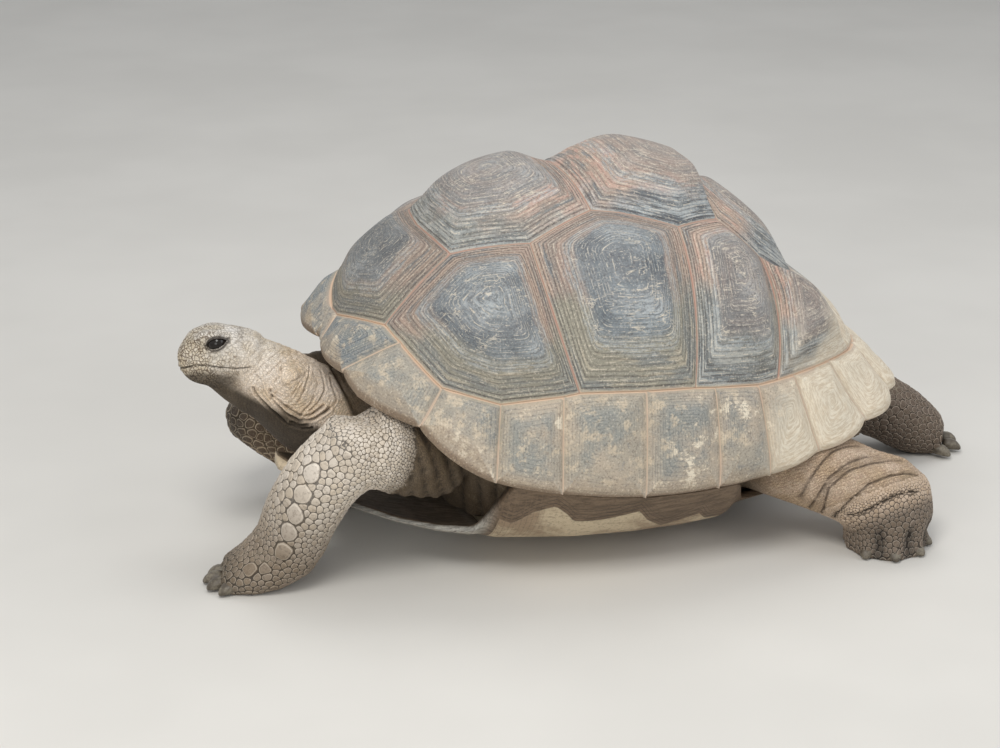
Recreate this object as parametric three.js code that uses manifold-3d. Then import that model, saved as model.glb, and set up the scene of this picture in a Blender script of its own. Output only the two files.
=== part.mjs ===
// Giant tortoise, life-size still model in a walking pose. Millimetres, +Z up, head toward -X.
// Every size that drives the shape is named here; the shapes below are made from these by rule.
import * as THREE from 'three';
import Module from 'manifold-3d';

// ---- carapace: a dome given as a radius for every direction from its centre ----
const CENTRE_Z = 225;                                  // height of the dome's centre above the floor
const FRONT = 540, REAR = 512, HALF_WIDTH = 388;       // radii along -X, +X and Y
const TOP = 470, UNDER = 300;                          // radii up and down
const PLAN_SQUARE = 2.35, SIDE_SQUARE = 2.1;           // squareness in plan and in elevation
const DIP = { at: 143, to: 16, side: 20, by: 0.06 };   // saddle on the midline above the tail
const REAR_CUT = 0.06;                                  // how much the back slopes away
// flare of the rim by azimuth (0 = head end, 180 = tail end) and how high it reaches
const FLARE_AZ = [0, 12, 25, 40, 60, 90, 118, 135, 150, 165, 180];
const FLARE = [0.03, 0.06, 0.10, 0.065, 0.03, 0.02, 0.02, 0.05, 0.11, 0.165, 0.16];
const FLARE_REACH = 9;
// scute corners, as azimuth and elevation in degrees: rim, top of the marginals
const RIM = { r0: [2.2, 19], r1: [18, 18], r2: [37.4, 12], r3: [52.2, 1], r4: [66.5, -2.8],
  r5: [88, -6.5], r6: [108.6, -6.5], r7: [122.6, -5.3], r8: [135.5, -2], r9: [149, 1.5],
  r10: [162.5, 3], r11: [172, 4] };
const SEAM = { n0: [2.2, 25], p0: [21.5, 28.5], q1: [27.2, 26.5], q2: [39, 20], q3: [51.5, 18.5],
  q4: [66, 21.5], c12: [70, 22.5], q5: [88.5, 22.5], c23: [103, 21.5], q6: [109, 20.5],
  q7: [122, 18], c34: [128, 17.5], q8: [133.5, 17], q9: [147, 15.5], P8: [158.5, 13.5],
  q10: [164, 13], s11: [172, 12] };
// corners along the back: angle from the head end and angle to the side
const RIDGE = { P1: [50, 17], P2: [66, 25], P3: [83.5, 20.5], P4: [105.5, 25], P5: [118, 17.5],
  P6: [131, 23], P7: [147, 18] };
const MIDLINE = { m0: 18.5, m1: 25, m2: 49, m3: 83, m4: 115.5, m5: 146, m7: 176 };
// heights of the scute bosses above the dome, and where the bosses of the large scutes sit
const BOSS = { vertebral: [24, 34, 50, 30, 12], costal: [26, 27, 28, 42], marginal: 9, nuchal: 3,
  supracaudal: 9 };
const VERTEBRAL_BOSS_AT = [42, 67, 107, 125, 157];
const COSTAL_BOSS_AT = [[50, 33], [86, 36], [121, 34], [143, 32]];
const BOSS_EDGE = 0.64;                                // part of the way in where the boss is full
const SEAM_DEPTH = 3, SEAM_PART = 0.07;                // groove along every seam
const GAP = 0.6, RIM_GAP = 1.2;                        // half the gap between neighbours
const PLATE = 14, RIM_PLATE = 18;                      // thickness of dome scutes and marginals
// outward bulge of each marginal's free edge, 1 to 11, then nuchal and supracaudal
const LOBE = [12, 12, 15, 5, 3, 3, 4, 7, 14, 20, 20], LOBE_NUCHAL = -5, LOBE_SUPRA = 10;
const SEGMENT = 60;                                    // length of one step along a seam

// ---- plastron: stations along X ----
const PLASTRON_X = [-606, -565, -505, -425, -345, -288, -252, -110, 0, 100, 178, 228, 300, 380, 440, 468];
const PLASTRON_W = [22, 60, 126, 188, 232, 262, 0, 0, 0, 0, 0, 245, 215, 165, 104, 50];   // 0: at the rim
const PLASTRON_Z = [156, 136, 106, 82, 64, 55, 50, 42, 40, 41, 45, 50, 57, 68, 80, 86];   // underside
const PLASTRON_RISE = [6, 8, 14, 22, 28, 40, 0, 0, 0, 0, 0, 40, 26, 18, 12, 8];           // 0: up to the rim
const PLASTRON_THICK = 18, TIP_THICK = 30, TIP_FROM = -505, PLASTRON_SQUARE = 5.2, BRIDGE_INSET = 14, BRIDGE_BELOW_RIM = 5;

// ---- soft body: stations [x, y, z, half-width, half-height] ----
const SKIN_UNDER_PLATE = 27;                           // trunk below the dome surface
const HEAD_NOSE = [-775, 45, 381], HEAD_YAW = 14, HEAD_PITCH = 0.8, HEAD_ROLL = 8;
// distance from the nose, half-width, top, bottom
const HEAD = [[1, 9, 7, -16], [6, 19, 17, -27], [14, 27, 30, -39], [22, 33, 43, -47], [35, 39, 51, -53], [57, 47, 55, -57],
  [80, 55, 56, -58], [104, 61, 53, -56], [128, 62, 47, -53], [150, 58, 39, -50]];
const MOUTH = [[0, -24], [20, -17], [40, -13], [72, -10.5], [105, -10], [132, -12]], MOUTH_END = 136;
const BROW = { at: 66, side: 34, up: 40, r: [36, 16, 13] };
const EYE = { at: 77, side: 44, up: 30, r: 17.5 };
const NECK = [[-676, 18, 370, 52, 48], [-640, 11, 349, 67, 62], [-600, 5, 318, 80, 74],
  [-549, 0, 272, 88, 84], [-490, 0, 244, 98, 104], [-410, 0, 226, 102, 104], [-345, 0, 212, 76, 80]];
const POUCH = [[-703, 24, 337, 26, 26], [-681, 19, 324, 37, 32], [-650, 11, 306, 48, 38], [-610, 3, 293, 52, 42]];
const TAIL = [[455, 0, 190, 44, 40], [530, 6, 150, 32, 28], [572, 12, 104, 20, 18], [584, 15, 78, 9, 8]];
const FORE_LEFT = { upper: [[-340, -180, 225, 82, 82], [-420, -225, 255, 78, 80], [-492, -248, 284, 70, 70]],
  lower: [[-494, -252, 324, 36, 38], [-503, -250, 295, 69, 71], [-562, -222, 222, 71, 67],
    [-600, -195, 146, 75, 66], [-630, -174, 70, 74, 62], [-692, -158, 30, 68, 42], [-735, -149, 19, 54, 27]],
  split: 84, claws: { at: [-690, -158, 13], dir: 168, fan: 112, reach: 62, wide: 54, n: 5, l: 22, r: 12 } };
const FORE_RIGHT = { upper: [[-340, 180, 220, 82, 78], [-450, 205, 226, 76, 76], [-585, 210, 208, 66, 66]],
  lower: [[-632, 210, 220, 28, 30], [-612, 208, 195, 60, 62], [-535, 203, 130, 66, 62],
    [-476, 194, 72, 70, 60], [-452, 188, 20, 72, 62], [-446, 186, -20, 70, 60]],
  split: 66, claws: { at: [-455, 188, 13], dir: 178, fan: 120, reach: 62, wide: 60, n: 5, l: 22, r: 12 } };
const HIND_LEFT = { upper: [[280, -180, 166, 90, 80], [370, -265, 144, 88, 78], [444, -312, 114, 86, 76]],
  lower: [[405, -288, 138, 62, 62], [452, -314, 110, 86, 80], [490, -326, 82, 87, 92],
    [488, -330, 44, 80, 79], [488, -330, 8, 78, 76], [488, -330, -20, 76, 74]],
  split: 70, claws: { at: [488, -330, 14], dir: -80, fan: 130, reach: 70, wide: 72, n: 4, l: 20, r: 13 } };
const HIND_RIGHT = { upper: [[300, 175, 172, 88, 82], [420, 170, 148, 82, 76], [520, 148, 138, 76, 70]],
  lower: [[500, 150, 140, 60, 60], [590, 128, 126, 74, 68], [676, 106, 98, 70, 66], [736, 93, 60, 69, 61],
    [778, 84, 36, 60, 47], [799, 77, 27, 48, 32]],
  split: 75, claws: { at: [760, 86, 15], dir: -14, fan: 118, reach: 62, wide: 56, n: 4, l: 22, r: 13 } };
const CUT = 0.4;                                       // gap where soft parts meet

const RAD = Math.PI / 180;
const V3 = (x, y, z) => new THREE.Vector3(x, y, z);
const mirror = v => V3(v.x, -v.y, v.z);
const ease = t => { t = Math.min(1, Math.max(0, t)); return t * t * (3 - 2 * t); };
function table(xs, ys, x) {
  if (x <= xs[0]) return ys[0];
  for (let i = 1; i < xs.length; i++) if (x <= xs[i]) {
    return ys[i - 1] + (ys[i] - ys[i - 1]) * (x - xs[i - 1]) / (xs[i] - xs[i - 1]);
  }
  return ys[ys.length - 1];
}
const fromAE = ([az, el]) => V3(-Math.cos(az * RAD) * Math.cos(el * RAD),
  -Math.sin(az * RAD) * Math.cos(el * RAD), Math.sin(el * RAD));
const fromAB = ([a, b]) => V3(-Math.cos(a * RAD) * Math.cos(b * RAD), -Math.sin(b * RAD),
  Math.sin(a * RAD) * Math.cos(b * RAD));
const azimuth = d => Math.atan2(Math.abs(d.y), -d.x) / RAD;
const rimAz = [0, ...Object.values(RIM).map(v => v[0]), 180];
const rimEl = [19, ...Object.values(RIM).map(v => v[1]), 4];

function domeRadius(d) {
  const plan = Math.abs(d.x / (d.x < 0 ? FRONT : REAR)) ** PLAN_SQUARE
    + Math.abs(d.y / HALF_WIDTH) ** PLAN_SQUARE;
  const r = (plan ** (SIDE_SQUARE / PLAN_SQUARE)
    + Math.abs(d.z / (d.z < 0 ? UNDER : TOP)) ** SIDE_SQUARE) ** (-1 / SIDE_SQUARE);
  const along = (Math.atan2(d.z, -d.x) / RAD - DIP.at) / DIP.to, aside = Math.asin(d.y) / RAD / DIP.side;
  return r * (1 - REAR_CUT * 2 * Math.max(0, d.x) * Math.max(0, d.z))
    * (1 - (d.z > 0 ? DIP.by : 0) * Math.exp(-along * along - aside * aside));
}
function shellRadius(d) {
  const az = azimuth(d), el = Math.asin(d.z) / RAD;
  const up = Math.max(0, el - table(rimAz, rimEl, az));
  return domeRadius(d) * (1 + table(FLARE_AZ, FLARE, az) * Math.exp(-up / FLARE_REACH));
}
const at = (d, r) => V3(d.x * r, d.y * r, d.z * r + CENTRE_Z);
const surface = d => at(d, shellRadius(d));
function normal(d) {
  const e = 1e-3, a = V3(0.3, 0.1, 1).cross(d).normalize(), b = V3().crossVectors(d, a);
  const p = surface(d);
  const u = surface(d.clone().addScaledVector(a, e).normalize()).sub(p);
  const v = surface(d.clone().addScaledVector(b, e).normalize()).sub(p);
  const n = u.cross(v).normalize();
  return n.dot(d) < 0 ? n.negate() : n;
}

// ---- meshes ----
function mesh(points, faces) {
  const g = new THREE.BufferGeometry();
  g.setAttribute('position', new THREE.BufferAttribute(
    new Float32Array(points.flatMap(p => [p.x, p.y, p.z])), 3));
  g.setIndex(faces.flat());
  return g;
}
function volume(g) {
  const p = g.attributes.position, ix = g.index.array, a = V3(), b = V3(), c = V3();
  let v = 0;
  for (let i = 0; i < ix.length; i += 3) {
    a.fromBufferAttribute(p, ix[i]); b.fromBufferAttribute(p, ix[i + 1]); c.fromBufferAttribute(p, ix[i + 2]);
    v += a.dot(b.cross(c));
  }
  return v / 6;
}
function outward(g) {
  if (volume(g) < 0) {
    const ix = g.index.array;
    for (let i = 0; i < ix.length; i += 3) [ix[i + 1], ix[i + 2]] = [ix[i + 2], ix[i + 1]];
  }
  return g;
}
// closed body through rings of equal count, each end closed by a fan round its own middle point
function loft(rings, first, last) {
  const n = rings[0].length, points = rings.flat(), faces = [];
  for (let r = 0; r + 1 < rings.length; r++) for (let j = 0; j < n; j++) {
    const k = (j + 1) % n, a = r * n, b = a + n;
    faces.push([a + j, a + k, b + k], [a + j, b + k, b + j]);
  }
  const mid = ring => ring.reduce((s, p) => s.add(p), V3()).divideScalar(n);
  points.push(first ?? mid(rings[0]), last ?? mid(rings[rings.length - 1]));
  const e = points.length, z = (rings.length - 1) * n;
  for (let j = 0; j < n; j++) {
    const k = (j + 1) % n;
    faces.push([e - 2, k, j], [e - 1, z + j, z + k]);
  }
  return outward(mesh(points, faces));
}

const wasm = await Module();
wasm.setup();
const { Manifold, Mesh } = wasm;
const solid = g => new Manifold(new Mesh({ numProp: 3, vertProperties: g.attributes.position.array,
  triVerts: new Uint32Array(g.index.array) }));
function geometry(m) {
  const s = m.simplify(0.12), r = s.getMesh(), n = r.numProp, pos = [];
  for (let i = 0; i < r.vertProperties.length; i += n) pos.push(...r.vertProperties.slice(i, i + 3));
  const g = new THREE.BufferGeometry();
  g.setAttribute('position', new THREE.BufferAttribute(new Float32Array(pos), 3));
  g.setIndex([...r.triVerts]);
  return g;
}

// ---- scutes ----
const corner = {};
for (const [k, a] of Object.entries(MIDLINE)) corner[k] = fromAB([a, 0]);
for (const [k, v] of [...Object.entries(RIM), ...Object.entries(SEAM)]) corner[k + 'L'] = fromAE(v);
for (const [k, v] of Object.entries(RIDGE)) corner[k + 'L'] = fromAB(v);
for (const k of Object.keys(corner)) if (k.endsWith('L')) corner[k.slice(0, -1) + 'R'] = mirror(corner[k]);

const scutes = {};
const add = (name, loop, boss, lobe = 0, centre = null, thick = PLATE) => {
  scutes[name] = { loop: loop.split(' '), boss, lobe, centre, thick };
};
['n0L p0L P1L m2 P1R p0R n0R m1', 'P1L P2L P3L m3 P3R P2R P1R m2', 'P3L P4L P5L m4 P5R P4R P3R m3',
  'P5L P6L P7L m5 P7R P6R P5R m4', 'P7L P8L q10L s11L s11R q10R P8R P7R m5'].forEach((loop, i) =>
  add(`vertebral_${i + 1}`, loop, BOSS.vertebral[i], 0, fromAB([VERTEBRAL_BOSS_AT[i], 0])));
add('nuchal', 'r0L n0L m1 n0R r0R m0', BOSS.nuchal, LOBE_NUCHAL, null, RIM_PLATE);
add('supracaudal', 's11L r11L m7 r11R s11R', BOSS.supracaudal, LOBE_SUPRA, null, RIM_PLATE);
for (const [side, S] of [['left', 'L'], ['right', 'R']]) {
  const here = loop => {
    const l = loop.split(' ').map(k => k + S);
    return (S === 'L' ? l : l.reverse()).join(' ');
  };
  ['p0 q1 q2 q3 q4 c12 P2 P1', 'c12 q5 c23 P4 P3 P2', 'c23 q6 q7 c34 P6 P5 P4', 'c34 q8 q9 P8 P7 P6']
    .forEach((loop, i) => {
      const c = fromAB(COSTAL_BOSS_AT[i]);
      add(`costal_${side}_${i + 1}`, here(loop), BOSS.costal[i], 0, S === 'L' ? c : mirror(c));
    });
  ['r0 r1 q1 p0 n0', 'r1 r2 q2 q1', 'r2 r3 q3 q2', 'r3 r4 q4 q3', 'r4 r5 q5 c12 q4', 'r5 r6 q6 c23 q5',
    'r6 r7 q7 q6', 'r7 r8 q8 c34 q7', 'r8 r9 q9 q8', 'r9 r10 q10 P8 q9', 'r10 r11 s11 q10']
    .forEach((loop, i) => add(`marginal_${side}_${i + 1}`, here(loop), BOSS.marginal, LOBE[i], null, RIM_PLATE));
}
const isRim = k => /^(r|m0|m7)/.test(k);

function outline(s) {
  const pts = [];
  s.loop.forEach((a, i) => {
    const b = s.loop[(i + 1) % s.loop.length], A = corner[a], B = corner[b];
    const steps = Math.max(1, Math.round(surface(A).distanceTo(surface(B)) / SEGMENT));
    const rim = isRim(a) && isRim(b);
    const whole = s.loop.filter(isRim).length > 2;      // nuchal and supracaudal: one lobe over two edges
    for (let k = 0; k < steps; k++) {
      const t = k / steps;
      const phase = whole ? (isRim(a) && a.length < 3 && a[0] === 'm' ? 0.5 + t / 2 : t / 2) : t;
      const bulge = rim ? s.lobe * Math.sin(Math.PI * phase) ** 0.7 : 0;
      pts.push({ d: A.clone().multiplyScalar(1 - t).addScaledVector(B, t).normalize(), bulge });
    }
  });
  return pts;
}
function scute(s, grow = 0) {                          // grown on every side for a clearance body
  const edge = outline(s);
  const c = s.centre ?? s.loop.reduce((sum, k) => sum.add(corner[k]), V3()).normalize();
  const place = (e, f, depth) => {
    const d = e.d.clone().multiplyScalar(1 - f).addScaledVector(c, f).normalize();
    const out = V3(d.x, d.y, -0.2 * Math.hypot(d.x, d.y)).normalize();
    return surface(d).addScaledVector(normal(d), depth).addScaledVector(out, e.bulge * (1 - f) ** 2);
  };
  const reach = edge.map(e => surface(e.d).distanceTo(surface(c)));
  const lift = f => -SEAM_DEPTH * (1 - ease(f / SEAM_PART)) + s.boss * ease(f / BOSS_EDGE);
  const small = s.thick === RIM_PLATE;
  const steps = small ? [0, SEAM_PART * 1.6, 0.6] : [0, SEAM_PART, 0.3, BOSS_EDGE];
  const ring = (f, depth) => edge.map((e, j) => place(e, Math.max(f, ((small ? RIM_GAP : GAP) - grow) / reach[j]), depth));
  const rings = steps.map(f => ring(f, lift(f) + grow));
  rings.unshift(ring(0, -s.thick - grow));
  if (!small) rings.unshift(ring(0.5, -s.thick));
  return loft(rings, surface(c).addScaledVector(normal(c), -s.thick - grow),
    surface(c).addScaledVector(normal(c), s.boss + 0.5 + grow));
}

// ---- plastron ----
const rimPoint = x => {                                // left rim point of the dome at this X
  let lo = 40, hi = 140;
  for (let i = 0; i < 30; i++) {
    const m = (lo + hi) / 2, p = surface(fromAE([m, table(rimAz, rimEl, m)]));
    if (p.x < x) lo = m; else hi = m;
  }
  return surface(fromAE([lo, table(rimAz, rimEl, lo)]));
};
function plastronAt(i) {
  const x = PLASTRON_X[i], rim = rimPoint(x), bridge = PLASTRON_W[i] === 0;
  return { x, w: bridge ? -rim.y - BRIDGE_INSET : PLASTRON_W[i], z: PLASTRON_Z[i],
    rise: bridge ? rim.z - BRIDGE_BELOW_RIM - PLASTRON_Z[i] : PLASTRON_RISE[i] };
}
function plastron(grow = 0) {
  const across = [-1, -0.96, -0.87, -0.72, -0.4, 0, 0.4, 0.72, 0.87, 0.96, 1];
  const rings = PLASTRON_X.map((_, i) => {
    const s = plastronAt(i), t = Math.min(PLASTRON_THICK, 0.6 * s.w);
    const deep = PLASTRON_THICK + (TIP_THICK - PLASTRON_THICK)
      * Math.max(0, (TIP_FROM - s.x) / (TIP_FROM - PLASTRON_X[0]));
    const lower = across.map(a => V3(s.x, a * (s.w + grow),
      s.z - grow + (s.rise + grow) * Math.abs(a) ** PLASTRON_SQUARE));
    const wi = Math.max(4, s.w - t) - grow;
    const upper = across.map(a => V3(s.x, a * wi, s.z + deep + grow
      + Math.max(0.5, s.rise - PLASTRON_THICK + 4) * Math.abs(a) ** PLASTRON_SQUARE)).reverse();
    return [...lower, ...upper];
  });
  if (grow) { rings[0].forEach(p => { p.x -= grow; }); rings[rings.length - 1].forEach(p => { p.x += grow; }); }
  return loft(rings);
}

// ---- trunk: fills the dome under the scutes and closes the openings ----
function trunk() {
  const columns = 32, rows = [];
  const rowsUp = [74, 60, 47, 36, 27];
  const col = j => j * 360 / columns + 4.5;
  const dirAt = (j, el) => {
    const a = col(j) > 180 ? 360 - col(j) : col(j), d = fromAE([a, el]);
    return col(j) > 180 ? mirror(d) : d;
  };
  const rim = j => table(rimAz, rimEl, col(j) > 180 ? 360 - col(j) : col(j));
  for (const el of rowsUp) rows.push(Array.from({ length: columns }, (_, j) => {
    const d = dirAt(j, Math.max(el, rim(j) + 6));
    return at(d, domeRadius(d) - SKIN_UNDER_PLATE);
  }));
  const level = (el, inset, z) => Array.from({ length: columns }, (_, j) => {
    const d = dirAt(j, rim(j) + el), p = at(d, domeRadius(d) - SKIN_UNDER_PLATE);
    const h = Math.hypot(p.x, p.y), k = (h - inset(p)) / h;
    return V3(p.x * k, p.y * k, z(p));
  });
  const ends = p => Math.abs(p.x / Math.hypot(p.x, p.y)) ** 3;
  rows.push(level(3, () => 0, p => p.z));
  rows.push(level(0, p => 14 + 26 * ends(p), p => p.z - 6));
  rows.push(level(0, p => 40 + 55 * ends(p), p => p.z * 0.62 + 30));
  rows.push(level(0, p => 120 + 60 * ends(p), () => 78));
  return loft(rows, at(V3(0, 0, 1), domeRadius(V3(0, 0, 1)) - SKIN_UNDER_PLATE), V3(0, 0, 70));
}

// ---- limbs, neck, tail ----
function curve(stations, sub) {
  const out = [], n = stations.length;
  for (let i = 0; i + 1 < n; i++) for (let k = 0; k < sub + (i + 2 === n); k++) {
    const t = k / sub, P = [stations[Math.max(0, i - 1)], stations[i], stations[i + 1],
      stations[Math.min(n - 1, i + 2)]];
    out.push(P[1].map((_, c) => 0.5 * (2 * P[1][c] + (P[2][c] - P[0][c]) * t
      + (2 * P[0][c] - 5 * P[1][c] + 4 * P[2][c] - P[3][c]) * t * t
      + (3 * P[1][c] - P[0][c] - 3 * P[2][c] + P[3][c]) * t ** 3)));
  }
  return out;
}
function tube(stations, { sides = 12, sub = 2, side = V3(0, 1, 0), grow = 0 } = {}) {
  const line = curve(stations, sub);
  const rings = line.map((s, i) => {
    const a = line[Math.max(0, i - 1)], b = line[Math.min(line.length - 1, i + 1)];
    const T = V3(b[0] - a[0], b[1] - a[1], b[2] - a[2]).normalize();
    const A = side.clone().addScaledVector(T, -side.dot(T)).normalize(), B = V3().crossVectors(T, A);
    return Array.from({ length: sides }, (_, j) => {
      const th = 2 * Math.PI * j / sides;
      return V3(s[0], s[1], s[2]).addScaledVector(A, (s[3] + grow) * Math.cos(th))
        .addScaledVector(B, (s[4] + grow) * Math.sin(th));
    });
  });
  return solid(loft(rings));
}
function claw(x, y, z, dir, l, r) {
  const out = V3(Math.cos(dir * RAD), Math.sin(dir * RAD), 0);
  const rings = [[-14, 0.9, 2], [0.3 * l, 1, 1], [0.9 * l, 0.45, -4]].map(([s, k, up]) => {
    const c = V3(x, y, z + up).addScaledVector(out, s), A = V3(-out.y, out.x, 0);
    return Array.from({ length: 6 }, (_, j) => c.clone().addScaledVector(A, r * k * Math.cos(j * Math.PI / 3))
      .add(V3(0, 0, 0.85 * r * k * Math.sin(j * Math.PI / 3))));
  });
  return solid(loft(rings));
}
function leg(spec, grow = 0) {                         // grown on every side for a clearance body
  let m = tube(spec.upper, { grow }).add(tube(spec.lower, { grow }));
  const c = spec.claws;
  for (let i = 0; i < c.n; i++) {
    const a = c.dir + c.fan * (i / (c.n - 1) - 0.5) * -1;
    const q = (a - c.dir) * RAD, rx = c.reach * Math.cos(q), ry = c.wide * Math.sin(q);
    const fx = Math.cos(c.dir * RAD), fy = Math.sin(c.dir * RAD);
    m = m.add(claw(c.at[0] + fx * rx - fy * ry, c.at[1] + fy * rx + fx * ry, c.at[2],
      c.dir + (a - c.dir) * 0.55, c.l, c.r));
  }
  return m.trimByPlane([0, 0, 1], 0);
}
function halves(m, z) {
  return [m.trimByPlane([0, 0, 1], z + CUT / 2), m.trimByPlane([0, 0, -1], -z + CUT / 2)];
}

// ---- head: built along its own axis, then turned ----
const headTurn = new THREE.Matrix4().makeTranslation(...HEAD_NOSE)
  .multiply(new THREE.Matrix4().makeRotationZ(-HEAD_YAW * RAD))
  .multiply(new THREE.Matrix4().makeRotationY(HEAD_PITCH * RAD))
  .multiply(new THREE.Matrix4().makeRotationX(-HEAD_ROLL * RAD));
function headBody() {
  const rings = curve(HEAD, 1).map(([s, w, top, low]) => Array.from({ length: 16 }, (_, j) => {
    const a = 2 * Math.PI * j / 16, c = Math.cos(a), q = Math.sin(a);
    return V3(s, w * Math.sign(c) * Math.abs(c) ** 0.85, q > 0 ? top * q : -low * q);
  }));
  return solid(loft(rings));
}
function ball(x, y, z, rx, ry, rz, n = 10) {
  const g = new THREE.SphereGeometry(1, n, n - 3).scale(rx, ry, rz).translate(x, y, z);
  const points = [], faces = [], seen = new Map(), ids = [];
  for (let i = 0; i < g.attributes.position.count; i++) {
    const p = V3().fromBufferAttribute(g.attributes.position, i);
    const key = [p.x, p.y, p.z].map(v => Math.round(v * 1e3)).join();
    if (!seen.has(key)) { seen.set(key, points.length); points.push(p); }
    ids.push(seen.get(key));
  }
  for (let i = 0; i < g.index.count; i += 3) {
    const f = [0, 1, 2].map(k => ids[g.index.array[i + k]]);
    if (new Set(f).size === 3) faces.push(f);
  }
  return outward(mesh(points, faces));
}
function jawBlock(grow) {                              // everything below the mouth line
  const rings = [...MOUTH, [MOUTH_END + grow, MOUTH[MOUTH.length - 1][1]]].map(([s, z]) => [
    V3(s, -90, z + grow), V3(s, 90, z + grow), V3(s, 90, -120), V3(s, -90, -120)]);
  rings[0].forEach(p => { p.x -= 20; });
  return solid(loft(rings));
}
const turn = m => m.transform(headTurn.elements);

// ---- the model ----
const root = new THREE.Group();
root.name = 'giant_tortoise';
const colours = { shell: 0x6b6660, rim: 0x8f8878, belly: 0xb3a68c, skin: 0x7d7263, head: 0x968c7a, eye: 0x14110f };
const put = (name, g, colour) => {
  const m = new THREE.Mesh(g, new THREE.MeshStandardMaterial({ color: colours[colour] }));
  m.name = name;
  root.add(m);
};
for (const [name, s] of Object.entries(scutes)) put(name, scute(s), s.thick === PLATE ? 'shell' : 'rim');

const tray = solid(plastron()), trayRoom = solid(plastron(CUT));
put('plastron', geometry(tray), 'belly');
const body = solid(trunk()).subtract(trayRoom);
const bodyParts = body.decompose().sort((a, b) => b.volume() - a.volume());
put('trunk', geometry(bodyParts[0]), 'skin');
const room = bodyParts[0].scale([1 + CUT / 300, 1 + CUT / 300, 1 + CUT / 300])
  .translate([0, 0, -CUT / 300 * 150]).add(trayRoom);
const largest = m => m.decompose().sort((a, b) => b.volume() - a.volume())[0];

// the rim over the left hind leg and the left elbow keeps its clearance from them
const rimRoom = [2, 3, 8, 9, 10].map(i => solid(scute(scutes[`marginal_left_${i}`], 3)))
  .flatMap(b => [b, b.translate([0, 0, -4])]).reduce((m, b) => m.add(b));
const legs = { foreleg_left: FORE_LEFT, foreleg_right: FORE_RIGHT, hindleg_left: HIND_LEFT,
  hindleg_right: HIND_RIGHT };
for (const [name, spec] of Object.entries(legs)) {
  const [upper, lower] = halves(leg(spec).subtract(rimRoom), spec.split);
  put(name, geometry(largest(upper.subtract(room))), 'skin');
  put(name.replace('leg', 'foot'), geometry(largest(lower.subtract(room))), 'skin');
}
put('tail', geometry(largest(tube(TAIL, { sides: 12 }).subtract(room))), 'skin');

const brows = [1, -1].map(s => solid(ball(BROW.at, s * BROW.side, BROW.up, ...BROW.r)));
const skull = turn(brows.reduce((m, b) => m.add(b), headBody()));
const eyeAt = (s, r) => turn(solid(ball(EYE.at, s * EYE.side, EYE.up, r, r, r)));
const jaw = skull.intersect(turn(jawBlock(0)));
const cranium = skull.subtract(turn(jawBlock(CUT))).subtract(eyeAt(1, EYE.r + CUT)).subtract(eyeAt(-1, EYE.r + CUT));
put('head', geometry(largest(cranium)), 'head');
put('jaw', geometry(largest(jaw)), 'head');
put('eye_left', geometry(eyeAt(-1, EYE.r)), 'eye');
put('eye_right', geometry(eyeAt(1, EYE.r)), 'eye');
const skullRoom = turn(solid(outward(geometry(headBody().add(brows[0]).add(brows[1])))).scale([1.006, 1.008, 1.008]));
const shoulderRoom = leg(FORE_LEFT, CUT).add(leg(FORE_RIGHT, CUT));
const throat = tube(NECK, { sides: 16, sub: 1 }).add(tube(POUCH, { sides: 12, sub: 1 })).subtract(skullRoom).subtract(room).subtract(shoulderRoom);
put('neck', geometry(largest(throat)), 'skin');

// origin: middle of the bounding box at floor level
const box = new THREE.Box3().setFromObject(root);
const shift = [-(box.min.x + box.max.x) / 2, -(box.min.y + box.max.y) / 2, -box.min.z];
root.children.forEach(m => m.geometry.translate(...shift));

export default root;
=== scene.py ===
# %% [markdown]
# A giant tortoise at life size, as a museum would show it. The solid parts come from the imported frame.
# This lesson gives each plate of the shell its rings, pours one skin over the flesh, and adds scales,
# claws and eyes. Everything stays in metres: the head points to -X, the tail to +X, the floor is z = 0.

# %% Load the frame
import math

import bmesh
import bpy
import numpy as np
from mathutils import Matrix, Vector, noise
from mathutils.bvhtree import BVHTree
from mathutils.kdtree import KDTree


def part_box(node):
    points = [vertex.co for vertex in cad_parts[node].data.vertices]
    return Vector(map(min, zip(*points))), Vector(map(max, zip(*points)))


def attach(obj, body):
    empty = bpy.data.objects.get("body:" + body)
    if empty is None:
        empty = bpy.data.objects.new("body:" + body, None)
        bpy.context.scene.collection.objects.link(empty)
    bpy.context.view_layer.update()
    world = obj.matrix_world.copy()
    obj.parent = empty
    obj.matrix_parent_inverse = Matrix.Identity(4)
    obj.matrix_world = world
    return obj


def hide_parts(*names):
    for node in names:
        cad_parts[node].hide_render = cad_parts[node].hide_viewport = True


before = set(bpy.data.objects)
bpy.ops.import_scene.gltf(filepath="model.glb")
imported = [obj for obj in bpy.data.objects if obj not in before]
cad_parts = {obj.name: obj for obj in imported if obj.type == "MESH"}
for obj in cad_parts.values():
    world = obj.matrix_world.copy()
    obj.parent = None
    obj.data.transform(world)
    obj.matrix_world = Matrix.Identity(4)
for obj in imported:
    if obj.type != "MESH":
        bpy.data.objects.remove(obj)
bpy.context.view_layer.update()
print("solids in the frame:", len(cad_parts))

# %% [markdown]
# Every measure below was settled round the middle of the shell. The frame puts its origin in the middle
# of the whole animal instead, so one vector, read from the box of the plastron, carries the shell's axis.

# %% Find the shell's axis
PLASTRON_TIP = 0.606  # from the shell's axis to the plastron's front tip
tray_low, tray_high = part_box("plastron")
HOME = np.array([tray_low[0] + PLASTRON_TIP, (tray_low[1] + tray_high[1]) / 2, 0.0])
print("shell axis at", HOME.round(4))
for thing in [o for o in bpy.data.objects if o.type in ("LIGHT", "CAMERA")]:
    bpy.data.objects.remove(thing)

# %% [markdown]
# The camera stands a little ahead of the animal's left side and looks down on the shell, as a visitor
# would. Its place comes from two angles and a distance, so the view can be turned without guessing.

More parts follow.
